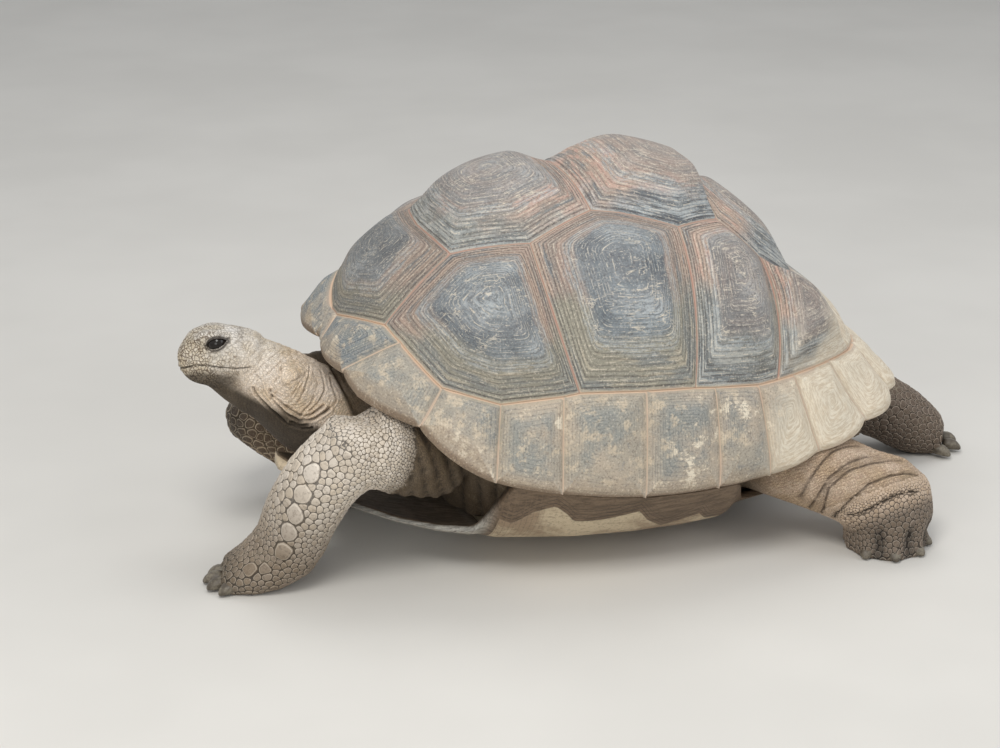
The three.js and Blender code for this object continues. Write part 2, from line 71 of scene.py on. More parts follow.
# %% Camera
LENS, SENSOR = 85.0, 36.0
CAMERA_TURN, CAMERA_RISE, CAMERA_BACK = math.radians(-16.5), math.radians(20.5), 4.48
aim = Vector(HOME) + Vector((-0.171, 0.0, 0.295))


def into_scene(name, data):
    thing = bpy.data.objects.new(name, data)
    bpy.context.scene.collection.objects.link(thing)
    return thing


back = Vector((math.sin(CAMERA_TURN) * math.cos(CAMERA_RISE),
               -math.cos(CAMERA_TURN) * math.cos(CAMERA_RISE), math.sin(CAMERA_RISE)))
camera = into_scene("camera", bpy.data.cameras.new("camera"))
camera.data.lens, camera.data.sensor_width = LENS, SENSOR
camera.location = aim + back * CAMERA_BACK
camera.rotation_euler = (-back).to_track_quat("-Z", "Y").to_euler()
bpy.context.scene.camera = camera
bpy.context.scene.view_settings.view_transform = "Standard"
print("camera height", round(camera.location.z, 2), "m")

# %% [markdown]
# Materials are node trees written in code. A small helper adds a node, sets its properties and plugs in
# its inputs in one call. A colour is written as its screen value and turned into linear light.

# %% Node helpers
def colour(red, green, blue):
    screen = np.array([red, green, blue]) / 255
    linear = np.where(screen <= 0.04045, screen / 12.92, ((screen + 0.055) / 1.055) ** 2.4)
    return (*linear.tolist(), 1.0)


def add(tree, kind, inputs=None, **props):
    made = tree.nodes.new(kind)
    for key, value in props.items():
        setattr(made, key, value)
    for key, value in (inputs or {}).items():
        if isinstance(value, bpy.types.NodeSocket):
            tree.links.new(value, made.inputs[key])
        else:
            made.inputs[key].default_value = value
    return made


def sums(tree, operation, *values):
    return add(tree, "ShaderNodeMath", dict(enumerate(values)), operation=operation).outputs[0]


def plus(tree, first, second):
    return sums(tree, "ADD", first, second)


def minus(tree, first, second):
    return sums(tree, "SUBTRACT", first, second)


def times(tree, *values):
    result = values[0]
    for value in values[1:]:
        result = sums(tree, "MULTIPLY", result, value)
    return result


def swing(tree, noise_value, reach):
    """A noise from 0 to 1 made to swing round zero."""
    return times(tree, minus(tree, noise_value, 0.5), reach)


def between(tree, value, low, high):
    """0 below low, 1 above high, smooth between; low may be above high."""
    keys = {0: value, 1: low, 2: high, 3: 0.0, 4: 1.0}
    if low > high:
        keys = {0: value, 1: high, 2: low, 3: 1.0, 4: 0.0}
    return add(tree, "ShaderNodeMapRange", keys, interpolation_type="SMOOTHSTEP").outputs[0]


def mix(tree, amount, first, second, blend="MIX"):
    return add(tree, "ShaderNodeMix", {0: amount, 6: first, 7: second}, data_type="RGBA",
               blend_type=blend).outputs[2]


def attribute(tree, name, output="Fac"):
    return add(tree, "ShaderNodeAttribute", attribute_name=name).outputs[output]


def place(tree):
    return add(tree, "ShaderNodeTexCoord").outputs["Object"]


def grain(tree, vector, scale, detail=4.0, rough=0.55, warp=0.0):
    return add(tree, "ShaderNodeTexNoise", {"Vector": vector, "Scale": scale, "Detail": detail,
                                            "Roughness": rough, "Distortion": warp}).outputs["Fac"]


def finish_material(name, tree_maker, rough=0.75):
    material = bpy.data.materials.new(name)
    material.use_nodes = True
    tree = material.node_tree
    shader = tree.nodes["Principled BSDF"]
    shader.inputs["Roughness"].default_value = rough
    tree_maker(tree, shader)
    return material


def bump(tree, shader, height, strength, distance):
    result = add(tree, "ShaderNodeBump", {"Height": height, "Strength": strength, "Distance": distance})
    tree.links.new(result.outputs[0], shader.inputs["Normal"])


print("node helpers ready")

# %% [markdown]
# Meshes are built from arrays. These helpers read and write an array of points, store a value or a
# colour on every point, and join rows of points into bands of four-sided faces.

# %% Mesh helpers
def unit(v):
    return v / np.linalg.norm(v, axis=-1, keepdims=True)


def ease(t):
    """0 below 0, 1 above 1, smooth between."""
    t = np.clip(t, 0, 1)
    return t * t * (3 - 2 * t)


def bell(value, width):
    return np.exp(-(value / width) ** 2)


def vectors_of(items, key):
    flat = np.empty(len(items) * 3)
    items.foreach_get(key, flat)
    return flat.reshape(-1, 3)


def coordinates(mesh):
    return vectors_of(mesh.vertices, "co")


def point_normals(mesh):
    return vectors_of(mesh.vertex_normals, "vector")


def set_coordinates(mesh, points):
    mesh.vertices.foreach_set("co", points.astype(np.float32).reshape(-1))
    mesh.update()


def store_value(mesh, name, values):
    flat = np.asarray(values).reshape(-1).astype(np.float32)
    mesh.attributes.new(name, "FLOAT", "POINT").data.foreach_set("value", flat)


def store_colour(mesh, name, values):
    flat = np.concatenate([values, np.ones((len(values), 1))], axis=1).astype(np.float32)
    mesh.attributes.new(name, "FLOAT_COLOR", "POINT").data.foreach_set("color", flat.reshape(-1))


def bands(rows, around):
    """Faces between neighbouring rows, each a closed ring of `around` points."""
    j, k = np.arange(around), (np.arange(around) + 1) % around
    return np.concatenate([np.stack([r * around + j, r * around + k, (r + 1) * around + k,
                                     (r + 1) * around + j], 1) for r in range(rows - 1)])


print("mesh helpers ready")

# %% [markdown]
# A pale floor and soft light keep the eye on the animal. A broad lamp high on the left does the
# modelling, weaker ones fill from the tail, from above and from the head, and the sky gives an even
# ground light. The white backdrop is seen only by the camera and in reflections, so it adds no light.

# %% Floor and light
FLOOR_HALF = 30.0


def floor_tree(tree, shader):
    shade = grain(tree, place(tree), 1.5, 3.0)
    tint = mix(tree, between(tree, shade, 0.3, 0.7), colour(214, 211, 205), colour(220, 217, 211))
    tree.links.new(tint, shader.inputs["Base Color"])


def make_floor():
    mesh = bpy.data.meshes.new("floor")
    h = FLOOR_HALF
    mesh.from_pydata([(-h, -h, 0), (h, -h, 0), (h, h, 0), (-h, h, 0)], [], [(0, 1, 2, 3)])
    floor = into_scene("floor", mesh)
    mesh.materials.append(finish_material("plain_floor", floor_tree, 0.9))


def make_lamp(name, stands_at, size, power, tint=(1, 1, 1)):
    lamp = into_scene(name, bpy.data.lights.new(name, "AREA"))
    lamp.data.shape, lamp.data.size = "DISK", size
    lamp.data.energy, lamp.data.color = power, tint
    lamp.location = stands_at
    lamp.rotation_euler = (aim - Vector(stands_at)).to_track_quat("-Z", "Y").to_euler()


def make_sky():
    world = bpy.data.worlds.new("sky")
    world.use_nodes = True
    bpy.context.scene.world = world
    tree = world.node_tree
    path = add(tree, "ShaderNodeLightPath")
    seen = sums(tree, "MAXIMUM", path.outputs["Is Camera Ray"], path.outputs["Is Glossy Ray"])
    seen = sums(tree, "MAXIMUM", seen, path.outputs["Is Transmission Ray"])
    soft = add(tree, "ShaderNodeBackground", {"Color": (0.93, 0.96, 1.0, 1), "Strength": 0.46})
    white = add(tree, "ShaderNodeBackground", {"Color": (0.86, 0.86, 0.85, 1), "Strength": 1.0})
    both = add(tree, "ShaderNodeMixShader", {0: seen, 1: soft.outputs[0], 2: white.outputs[0]})
    tree.links.new(both.outputs[0], tree.nodes["World Output"].inputs[0])


make_floor()
make_lamp("key", (-1.6, -2.6, 4.2), 1.9, 102, (1.0, 0.985, 0.95))
make_lamp("fill", (2.8, -2.2, 2.6), 2.4, 34, (0.95, 0.97, 1.0))
make_lamp("top", (0.4, 1.4, 4.4), 2.6, 42)
make_lamp("front", (-2.6, -3.4, 1.5), 2.0, 34, (1.0, 0.98, 0.95))
make_sky()
print("floor, four lamps and a sky")

# %% [markdown]
# The shell is one dome cut into plates. The dome is a rule that gives a radius for every direction from
# a point inside it, so a plate can be sampled as finely as wanted and still meets its neighbours.

# %% The dome
DOME_CENTRE = np.array([0.0, 0.0, 0.225])
FRONT, REAR, HALF_WIDTH, TOP, UNDER = 0.540, 0.512, 0.388, 0.470, 0.300
PLAN_SQUARE, SIDE_SQUARE = 2.35, 2.1
DIP_AT, DIP_TO, DIP_SIDE, DIP_BY = 143, 16, 20, 0.06  # saddle above the tail
REAR_CUT = 0.06
FLARE_AZIMUTH = [0, 12, 25, 40, 60, 90, 118, 135, 150, 165, 180]
FLARE = [0.03, 0.06, 0.10, 0.065, 0.03, 0.02, 0.02, 0.05, 0.11, 0.165, 0.16]
FLARE_REACH = 9
RIM = {"r0": (2.2, 19), "r1": (18, 18), "r2": (37.4, 12), "r3": (52.2, 1), "r4": (66.5, -2.8),
       "r5": (88, -6.5), "r6": (108.6, -6.5), "r7": (122.6, -5.3), "r8": (135.5, -2), "r9": (149, 1.5),
       "r10": (162.5, 3), "r11": (172, 4)}
RIM_AZIMUTH = [0] + [v[0] for v in RIM.values()] + [180]
RIM_HEIGHT = [19] + [v[1] for v in RIM.values()] + [4]


def round_about(azimuth, elevation):
    a, e = np.radians(azimuth), np.radians(elevation)
    return np.array([-np.cos(a) * np.cos(e), -np.sin(a) * np.cos(e), np.sin(e)])


def over_back(angle, aside):
    a, s = np.radians(angle), np.radians(aside)
    return np.array([-np.cos(a) * np.cos(s), -np.sin(s), np.sin(a) * np.cos(s)])


def dome_radius(d):
    x, y, z = d[..., 0], d[..., 1], d[..., 2]
    plan = np.abs(x / np.where(x < 0, FRONT, REAR)) ** PLAN_SQUARE + np.abs(y / HALF_WIDTH) ** PLAN_SQUARE
    tall = np.abs(z / np.where(z < 0, UNDER, TOP)) ** SIDE_SQUARE
    radius = (plan ** (SIDE_SQUARE / PLAN_SQUARE) + tall) ** (-1 / SIDE_SQUARE)
    along = (np.degrees(np.arctan2(z, -x)) - DIP_AT) / DIP_TO
    aside = np.degrees(np.arcsin(np.clip(y, -1, 1))) / DIP_SIDE
    saddle = np.where(z > 0, DIP_BY, 0) * np.exp(-along ** 2 - aside ** 2)
    return radius * (1 - REAR_CUT * 2 * np.maximum(0, x) * np.maximum(0, z)) * (1 - saddle)


def shell_surface(d):
    azimuth = np.degrees(np.arctan2(np.abs(d[..., 1]), -d[..., 0]))
    height = np.degrees(np.arcsin(np.clip(d[..., 2], -1, 1)))
    above = np.maximum(0, height - np.interp(azimuth, RIM_AZIMUTH, RIM_HEIGHT))
    flare = np.interp(azimuth, FLARE_AZIMUTH, FLARE) * np.exp(-above / FLARE_REACH)
    return d * (dome_radius(d) * (1 + flare))[..., None] + DOME_CENTRE


def shell_normal(d):
    step = 2e-3
    side = unit(np.cross(np.array([0.3, 0.1, 1.0]), d))
    up = np.cross(d, side)
    here = shell_surface(d)
    across, along = (shell_surface(unit(d + way * step)) - here for way in (side, up))
    n = unit(np.cross(across, along))
    return n * np.sign(np.sum(n * d, axis=-1, keepdims=True))


print("dome top at", round(float(shell_surface(np.array([0.0, 0.0, 1.0]))[2]), 3), "m")

# %% [markdown]
# Thirty-seven plates, called scutes, cover the dome: five along the back, four on each flank, and a rim
# of small ones. Their corners are named once, on the left. The right side is a mirror.

# %% Corners and loops of the scutes
SEAM = {"n0": (2.2, 25), "p0": (21.5, 28.5), "q1": (27.2, 26.5), "q2": (39, 20), "q3": (51.5, 18.5),
        "q4": (66, 21.5), "c12": (70, 22.5), "q5": (88.5, 22.5), "c23": (103, 21.5), "q6": (109, 20.5),
        "q7": (122, 18), "c34": (128, 17.5), "q8": (133.5, 17), "q9": (147, 15.5), "P8": (158.5, 13.5),
        "q10": (164, 13), "s11": (172, 12)}
RIDGE = {"P1": (50, 17), "P2": (66, 25), "P3": (83.5, 20.5), "P4": (105.5, 25), "P5": (118, 17.5),
         "P6": (131, 23), "P7": (147, 18)}
MIDLINE = {"m0": 18.5, "m1": 25, "m2": 49, "m3": 83, "m4": 115.5, "m5": 146, "m7": 176}
VERTEBRALS = ["n0L p0L P1L m2 P1R p0R n0R m1", "P1L P2L P3L m3 P3R P2R P1R m2",
              "P3L P4L P5L m4 P5R P4R P3R m3", "P5L P6L P7L m5 P7R P6R P5R m4",
              "P7L P8L q10L s11L s11R q10R P8R P7R m5"]
COSTALS = ["p0 q1 q2 q3 q4 c12 P2 P1", "c12 q5 c23 P4 P3 P2", "c23 q6 q7 c34 P6 P5 P4",
           "c34 q8 q9 P8 P7 P6"]
MARGINALS = ["r0 r1 q1 p0 n0", "r1 r2 q2 q1", "r2 r3 q3 q2", "r3 r4 q4 q3", "r4 r5 q5 c12 q4",
             "r5 r6 q6 c23 q5", "r6 r7 q7 q6", "r7 r8 q8 c34 q7", "r8 r9 q9 q8", "r9 r10 q10 P8 q9",
             "r10 r11 s11 q10"]
VERTEBRAL_RISE = [0.024, 0.034, 0.050, 0.030, 0.012]
VERTEBRAL_MIDDLE = [42, 67, 107, 125, 157]
COSTAL_RISE = [0.026, 0.027, 0.028, 0.042]
COSTAL_MIDDLE = [(50, 33), (86, 36), (121, 34), (143, 32)]
MARGINAL_RISE, NUCHAL_RISE, TAIL_RISE = 0.009, 0.003, 0.009
LOBE = [0.012, 0.012, 0.015, 0.005, 0.003, 0.003, 0.004, 0.007, 0.014, 0.020, 0.020]
NUCHAL_LOBE, TAIL_LOBE = -0.005, 0.010
PLATE, RIM_PLATE = 0.014, 0.018
MIRROR = np.array([1, -1, 1])

corner = {k: over_back(a, 0) for k, a in MIDLINE.items()}
for k, v in {**RIM, **SEAM}.items():
    corner[k + "L"] = round_about(*v)
for k, v in RIDGE.items():
    corner[k + "L"] = over_back(*v)
for k in [k for k in corner if k.endswith("L")]:
    corner[k[:-1] + "R"] = corner[k] * MIRROR

scutes = {}


def add_scute(name, loop, rise, lobe=0.0, middle=None, thick=PLATE):
    loop = loop.split()
    if middle is None:
        middle = unit(np.sum([corner[k] for k in loop], axis=0))
    scutes[name] = dict(loop=loop, rise=rise, lobe=lobe, middle=middle, thick=thick)


for i, loop in enumerate(VERTEBRALS):
    add_scute(f"vertebral_{i + 1}", loop, VERTEBRAL_RISE[i], middle=over_back(VERTEBRAL_MIDDLE[i], 0))
add_scute("nuchal", "r0L n0L m1 n0R r0R m0", NUCHAL_RISE, NUCHAL_LOBE, thick=RIM_PLATE)
add_scute("supracaudal", "s11L r11L m7 r11R s11R", TAIL_RISE, TAIL_LOBE, thick=RIM_PLATE)
for side, letter in (("left", "L"), ("right", "R")):
    turn = 1 if letter == "L" else -1
    for i, loop in enumerate(COSTALS):
        middle = over_back(*COSTAL_MIDDLE[i]) * np.array([1, turn, 1])
        named = " ".join([k + letter for k in loop.split()][::turn])
        add_scute(f"costal_{side}_{i + 1}", named, COSTAL_RISE[i], middle=middle)
    for i, loop in enumerate(MARGINALS):
        named = " ".join([k + letter for k in loop.split()][::turn])
        add_scute(f"marginal_{side}_{i + 1}", named, MARGINAL_RISE, LOBE[i], thick=RIM_PLATE)
print(len(scutes), "scutes on", len(corner), "corners")

# %% [markdown]
# A scute grows from a small plate in its middle and adds a ring at its edge every season. The mesh
# follows that growth: rows of points run round the outline, each row closer to the middle, and every
# ring gets its own groove. The same rows carry three attributes, so the material's colours follow the
# rings at any zoom.

# %% Rings of a scute
GROOVE, SEAM_SHARE, BOSS_SHARE = 0.003, 0.07, 0.64
HAIRLINE = 0.00015  # half the gap at a seam
RING_DEPTH, RING_STEP = 0.0013, 0.0064
ROWS_PER_RING, ROWS_ON_BOSS = 4, 14
RINGS_APART = 40  # so that no two scutes share their ring tones
TINT = {"vertebral_1": -0.40, "vertebral_2": 0.50, "vertebral_3": 0.75, "vertebral_4": 0.6,
        "costal_1": -0.20, "costal_3": 0.50, "costal_4": 0.65, "nuchal": 0.6, "marginal_1": 1.0,
        "marginal_2": 0.25, "marginal_3": 0.35, "marginal_6": 0.2,
        "marginal_7": 0.3}  # pink of a boss, or slate of a rim plate
ROUND_OFF = 0.058  # how far the corners melt towards the boss
EDGE_STEP_DOME, EDGE_STEP_RIM = 0.0055, 0.005
ROUND_REACH, ROUND_DROP = 0.018, 0.0085  # rounding of the rim's free edge
SWAY, GROOVE_SHARE, RIM_GROOVES = 0.35, 0.24, 0.16  # in rings, in rings, depth on the rim's plates
WORN_FROM, WORN_OVER, WORN_BY = 0.36, 0.16, 0.85  # where the grooves fade on the boss


def is_rim(k):
    return k[0] == "r" or k in ("m0", "m7")


def is_low(k):
    return k[:-1] in SEAM


def scute_outline(s, step):
    """Directions round the outline, the free edge's bulge, 1 where dome meets rim, 1 on the free edge."""
    points, bulge, low, open_edge = [], [], [], []
    loop, one_lobe = s["loop"], sum(map(is_rim, s["loop"])) > 2
    for a, b in zip(loop, loop[1:] + loop[:1]):
        length = np.linalg.norm(shell_surface(corner[a]) - shell_surface(corner[b]))
        count = max(3, round(length / step))
        for t in np.arange(count) / count:
            phase = (0.5 + t / 2 if a in ("m0", "m7") else t / 2) if one_lobe else t
            free = is_rim(a) and is_rim(b)
            points.append(unit(corner[a] * (1 - t) + corner[b] * t))
            bulge.append(s["lobe"] * math.sin(math.pi * phase) ** 0.7 if free and phase > 0 else 0.0)
            low.append(1.0 if is_low(a) and is_low(b) else 0.0)
            open_edge.append(1.0 if free else 0.0)
    return np.array(points), np.array(bulge), np.array(low), np.array(open_edge)


def ring_rows(reach, pick):
    """Rows from the seam inwards, and the ring number at each row."""
    marks = [SEAM_SHARE * 0.75]
    while marks[-1] < BOSS_SHARE + 0.06:
        marks.append(marks[-1] + RING_STEP / reach * pick.uniform(0.65, 1.5))
    rows, rings = [0.0, SEAM_SHARE * 0.15, SEAM_SHARE * 0.4], [0.0, 0.05, 0.5]
    for k, (low, high) in enumerate(zip(marks, marks[1:])):
        for part in np.arange(ROWS_PER_RING) / ROWS_PER_RING:
            rows.append(low + (high - low) * part)
            rings.append(k + 1 + part)
    inner = np.linspace(marks[-1], 0.985, ROWS_ON_BOSS)
    return np.array(rows + list(inner)), np.array(rings + list(len(marks) + np.linspace(0, 3, ROWS_ON_BOSS)))


def softened(edge):
    """The same outline with its corners melted, by dropping the fast waves of its Fourier sum."""
    waves = np.fft.rfft(edge, axis=0)
    speed = np.arange(len(waves))[:, None] * ROUND_OFF
    return unit(np.fft.irfft(waves * np.exp(-speed ** 2 * 2.2), len(edge), axis=0))


def wavy(points, scale, seed):
    return np.array([noise.noise(Vector(p * scale) + Vector((seed, 3.7, 1.3))) for p in points])


print("ring step", RING_STEP * 1000, "mm")

# %% [markdown]
# Now the plate itself. Its rows become a closed body: the ringed face, a short wall down the seam, and
# a plain inner face. A growth groove is deepest on the flanks of the boss and fades on its worn top.

# %% Build a scute
def growth_grooves(ring, share, edge, small, seed, pick):
    """Ring number at each point, and how far the point sinks into the groove of its ring."""
    sway = wavy(edge * 0.5, 9, seed) * SWAY
    phase = ring[:, None] + sway[None] * np.clip(share * 12, 0, 1)
    deep = np.interp(np.floor(phase), np.arange(400), 0.15 + 1.2 * pick.random(400) ** 2.2)
    within = phase - np.floor(phase)
    groove = np.exp(-(np.minimum(within, 1 - within) / GROOVE_SHARE) ** 2)
    worn = ease((share - 0.05) / 0.06) * (1 - WORN_BY * ease((share - WORN_FROM) / WORN_OVER))
    return phase, -RING_DEPTH * (RIM_GROOVES if small else 1.0) * deep * groove * worn


def scute_mesh(name, rows, sole, peak, turned_over):
    n, m = rows.shape[1], len(rows)
    points = np.concatenate([rows.reshape(-1, 3), [sole], [peak]]) + HOME
    j, k = np.arange(n), (np.arange(n) + 1) % n
    caps = np.concatenate([np.stack([np.full(n, n * m), k, j], 1),
                           np.stack([np.full(n, n * m + 1), (m - 1) * n + j, (m - 1) * n + k], 1)])
    faces = bands(m, n).tolist() + caps.tolist()
    if turned_over:
        faces = [f[::-1] for f in faces]
    mesh = bpy.data.meshes.new(name + "_horn")
    mesh.from_pydata(points.tolist(), [], faces)
    mesh.shade_smooth()
    return mesh


def build_scute(name, s, seed):
    pick = np.random.default_rng(seed)
    small = s["thick"] == RIM_PLATE
    edge, bulge, low, open_edge = scute_outline(s, EDGE_STEP_RIM if small else EDGE_STEP_DOME)
    middle = s["middle"]
    reach = np.linalg.norm(shell_surface(edge) - shell_surface(middle), axis=1)
    share, ring = ring_rows(reach.mean(), pick)
    share = np.maximum(share[:, None], HAIRLINE / reach[None])
    melted = ease(share / 0.55)[..., None]
    ring_at = edge[None] * (1 - melted) + softened(edge)[None] * melted
    d = unit(ring_at * (1 - share[..., None]) + middle * share[..., None])
    level = d * np.array([1, 1, 0])
    out = unit(level - np.array([0, 0, 0.2]) * np.hypot(d[..., 0], d[..., 1])[..., None])
    normal = shell_normal(d)
    phase, relief = growth_grooves(ring, share, edge, small, seed, pick)
    seam_deep, seam_wide = (1.6, 2.2) if small else (1.0, 1.0)
    lift = -GROOVE * seam_deep * (1 - ease(share / SEAM_SHARE / seam_wide))
    lift = lift + s["rise"] * ease(share / BOSS_SHARE) + relief
    near_edge = np.clip(share * reach[None] * open_edge[None] / ROUND_REACH + (1 - open_edge[None]), 0, 1)
    lift -= ROUND_DROP * (1 - np.sqrt(1 - (1 - near_edge) ** 2))
    face = shell_surface(d) + normal * lift[..., None] + out * (bulge * (1 - share) ** 2)[..., None]
    wall = shell_surface(d[0]) - normal[0] * s["thick"] + out[0] * bulge[:, None]
    inner = unit(edge * 0.5 + middle * 0.5)
    inner = shell_surface(inner) - shell_normal(inner) * s["thick"]
    peak_normal = shell_normal(middle)
    peak = shell_surface(middle) + peak_normal * (s["rise"] + 0.0005)
    sole = shell_surface(middle) - peak_normal * s["thick"]
    turns = np.cross(edge, np.roll(edge, -1, axis=0)) @ middle
    mesh = scute_mesh(name, np.concatenate([inner[None], wall[None], face]), sole, peak, turns.sum() < 0)
    tangent = unit(np.roll(edge, -1, axis=0) - np.roll(edge, 1, axis=0))
    slant = np.linalg.norm(np.cross(tangent, unit(edge - middle)), axis=1)
    slant = np.minimum(slant, np.minimum(np.roll(slant, 1), np.roll(slant, -1)))
    tint = TINT.get(name.replace("left_", "").replace("right_", ""), 0.0)
    first = RINGS_APART * seed
    layers = {  # on the face, on the inner side, at the peak
        "ring": (phase + first, first, ring[-1] + first),
        "inward": (share, 0.0, 1.0),
        "from_seam": (share * (reach * slant)[None], 0.0, 0.2),
        "rim_side": (np.repeat(low[None], len(share), 0), 0.0, 0.0),
        "free_side": (np.repeat(open_edge[None], len(share), 0), 0.0, 0.0),
        "upward": ((face[..., 2] - peak[2]) / reach.mean(), -1.0, 0.0),
        "tint": (np.full(share.shape, tint), 0.0, tint)}
    for key, (values, under, top) in layers.items():
        store_value(mesh, key, np.concatenate([np.full(2 * len(edge), under), values.reshape(-1),
                                               [under], [top]]))
    return into_scene(name + "_horn", mesh)


scute_pieces = {name: build_scute(name, s, seed) for seed, (name, s) in enumerate(scutes.items())}
count = sum(len(p.data.polygons) for p in scute_pieces.values())
print(len(scute_pieces), "scutes,", count, "faces")

# %% [markdown]
# Horn is matt, and its colour is told by the rings. Noise that runs fast across the rings and slowly
# along them gives every ring a tone and a broken, streaky edge. Seams are thin and pink between the dome
# plates, wide and pale orange where the dome meets the rim.

# %% Horn materials
SLATE_DARK, SLATE, SLATE_PALE = colour(78, 87, 96), colour(116, 124, 129), colour(170, 177, 180)
BROWN_DARK = colour(86, 80, 72)
TAN, PINK, BROWN_GREY = colour(174, 154, 139), colour(188, 156, 141), colour(146, 134, 125)
OLIVE, OLIVE_PALE = colour(146, 142, 128), colour(178, 168, 148)
LINE_DARK, CREAM = colour(70, 62, 58), colour(226, 214, 194)
SEAM_PINK, SEAM_ORANGE, SEAM_TAN = colour(182, 144, 128), colour(212, 184, 158), colour(208, 186, 164)
KHAKI, KHAKI_GREY, RIM_SLATE = colour(182, 168, 150), colour(164, 156, 142), colour(140, 143, 139)
# RIM_EDGE_SHADE is painted shade for the underside of the rim's free edge.
RIM_BROWN, RIM_EDGE_SHADE = colour(152, 134, 112), colour(128, 108, 88)
DUST, DUST_WARM = colour(232, 222, 202), colour(204, 188, 164)
BOSS_EDGE = (0.36, 0.46)  # shares of the way from seam to middle
SCRATCHES = [((0.4, 0.9, 0.5), 60), ((1.3, 0.2, -0.7), 75), ((0.9, -0.8, 1.2), 48)]  # lean, scale


def streaks(tree, spot, ring, along, across, detail=3.0, rough=0.6):
    """Noise with `along` cells a metre on the surface and `across` cells a ring."""
    return add(tree, "ShaderNodeTexNoise",
               {"Vector": spot, "W": times(tree, ring, across / along), "Scale": along,
                "Detail": detail, "Roughness": rough}, noise_dimensions="4D").outputs["Fac"]


def ring_lines(tree, ring, streak, width):
    within = sums(tree, "FRACT", plus(tree, ring, times(tree, streak, 0.5)))
    return between(tree, sums(tree, "PINGPONG", within, 0.5), width, 0.0)


def dust_mask(tree, spot, blotch):
    x = add(tree, "ShaderNodeSeparateXYZ", {0: spot})
    rear = between(tree, x.outputs["X"], 0.06, 0.44)
    low = between(tree, x.outputs["Z"], 0.52, 0.20)
    amount = plus(tree, times(tree, rear, plus(tree, low, 0.35)), minus(tree, blotch, 0.5))
    return between(tree, amount, 0.22, 0.75)


def contour(tree, value, width):
    """Thin lines where a noise passes its middle."""
    gap = sums(tree, "ABSOLUTE", minus(tree, value, 0.5))
    return between(tree, gap, width, width * 0.35)


def scratches(tree, spot, lean, scale):
    leaned = add(tree, "ShaderNodeMapping", {"Vector": spot, "Rotation": lean, "Scale": (0.16, 1.0, 1.0)})
    line = contour(tree, grain(tree, leaned.outputs[0], scale, 2.0, 0.5, 0.1), 0.010)
    return times(tree, line, between(tree, grain(tree, spot, 30, 2.0), 0.50, 0.60))


def seam_layers(tree, base, seam, rim_side, closed, blotch, rim):
    """Thin seams between the plates; wide and pale where dome meets rim; none on a free edge."""
    wide = plus(tree, 0.0013, times(tree, rim_side, 0.0020 if rim else 0.0007))
    ripple = plus(tree, seam, swing(tree, blotch, 0.004))
    share = sums(tree, "DIVIDE", ripple, wide)
    halo = times(tree, between(tree, share, 3.2, 1.2), closed, 0.55)
    base = mix(tree, halo, base, mix(tree, between(tree, blotch, 0.4, 0.6), TAN, OLIVE_PALE))
    tone = mix(tree, rim_side, SEAM_TAN if rim else SEAM_PINK, SEAM_ORANGE)
    return mix(tree, times(tree, between(tree, share, 1.25, 0.75), closed, 0.9), base, tone)


def dome_colours(tree, spot, ring, blotch, tones, fine):
    """Tan bands, olive ones low down, a slate boss, dark and pale ring lines, scratches on the boss."""
    inward, upward, warm, seam = (attribute(tree, k) for k in ("inward", "upward", "tint", "from_seam"))
    pinker, broad = between(tree, warm, 0.0, 1.0), streaks(tree, spot, ring, 5, 0.22)
    band = mix(tree, between(tree, broad, 0.44, 0.56), BROWN_GREY, TAN)
    pink_here = times(tree, between(tree, tones, 0.50, 0.60), plus(tree, 0.35, pinker))
    band = mix(tree, pink_here, band, PINK)
    band = mix(tree, times(tree, between(tree, tones, 0.46, 0.38), 0.7), band, SLATE)
    low = mix(tree, times(tree, between(tree, broad, 0.46, 0.60), 0.55), OLIVE, SLATE)
    low = mix(tree, times(tree, between(tree, tones, 0.52, 0.64), 0.8), low, OLIVE_PALE)
    low = mix(tree, pinker, low, mix(tree, between(tree, tones, 0.40, 0.58), SLATE_DARK, SLATE_PALE))
    level = plus(tree, upward, swing(tree, blotch, 0.8))
    level = minus(tree, level, times(tree, pinker, 0.22))
    base = mix(tree, between(tree, level, -0.56, -0.28), low, band)
    boss_at = plus(tree, inward, swing(tree, blotch, 0.30))
    boss = mix(tree, between(tree, blotch, 0.36, 0.66), SLATE_DARK, SLATE_PALE)
    boss = mix(tree, between(tree, fine, 0.40, 0.60), boss, SLATE)
    boss = mix(tree, times(tree, pinker, 0.8), boss,
               mix(tree, between(tree, tones, 0.40, 0.60), BROWN_GREY, TAN))
    base = mix(tree, times(tree, between(tree, boss_at, *BOSS_EDGE), 0.92), base, boss)
    halo = times(tree, between(tree, boss_at, 0.27, 0.33), between(tree, boss_at, 0.42, 0.37))
    base = mix(tree, times(tree, halo, between(tree, fine, 0.40, 0.55), 0.55), base, SLATE_PALE)
    dark_line = ring_lines(tree, ring, tones, 0.24)
    pale_line = ring_lines(tree, plus(tree, ring, 0.5), fine, 0.13)
    near = between(tree, seam, 0.040, 0.008)
    off_boss = minus(tree, 1.0, times(tree, between(tree, boss_at, *BOSS_EDGE), 0.75))
    dark = times(tree, dark_line, plus(tree, 0.42, times(tree, near, 0.35)), off_boss,
                 between(tree, fine, 0.32, 0.52))
    base = mix(tree, dark, base, LINE_DARK)
    base = mix(tree, times(tree, pale_line, 0.75, between(tree, fine, 0.48, 0.58)), base, CREAM)
    for lean, scale in SCRATCHES:
        scratched = times(tree, scratches(tree, spot, lean, scale), between(tree, boss_at, 0.30, 0.42), 0.55)
        base = mix(tree, scratched, base, CREAM)
    base = mix(tree, between(tree, warm, 0.0, -1.0), base, BROWN_DARK)
    return base, dark_line


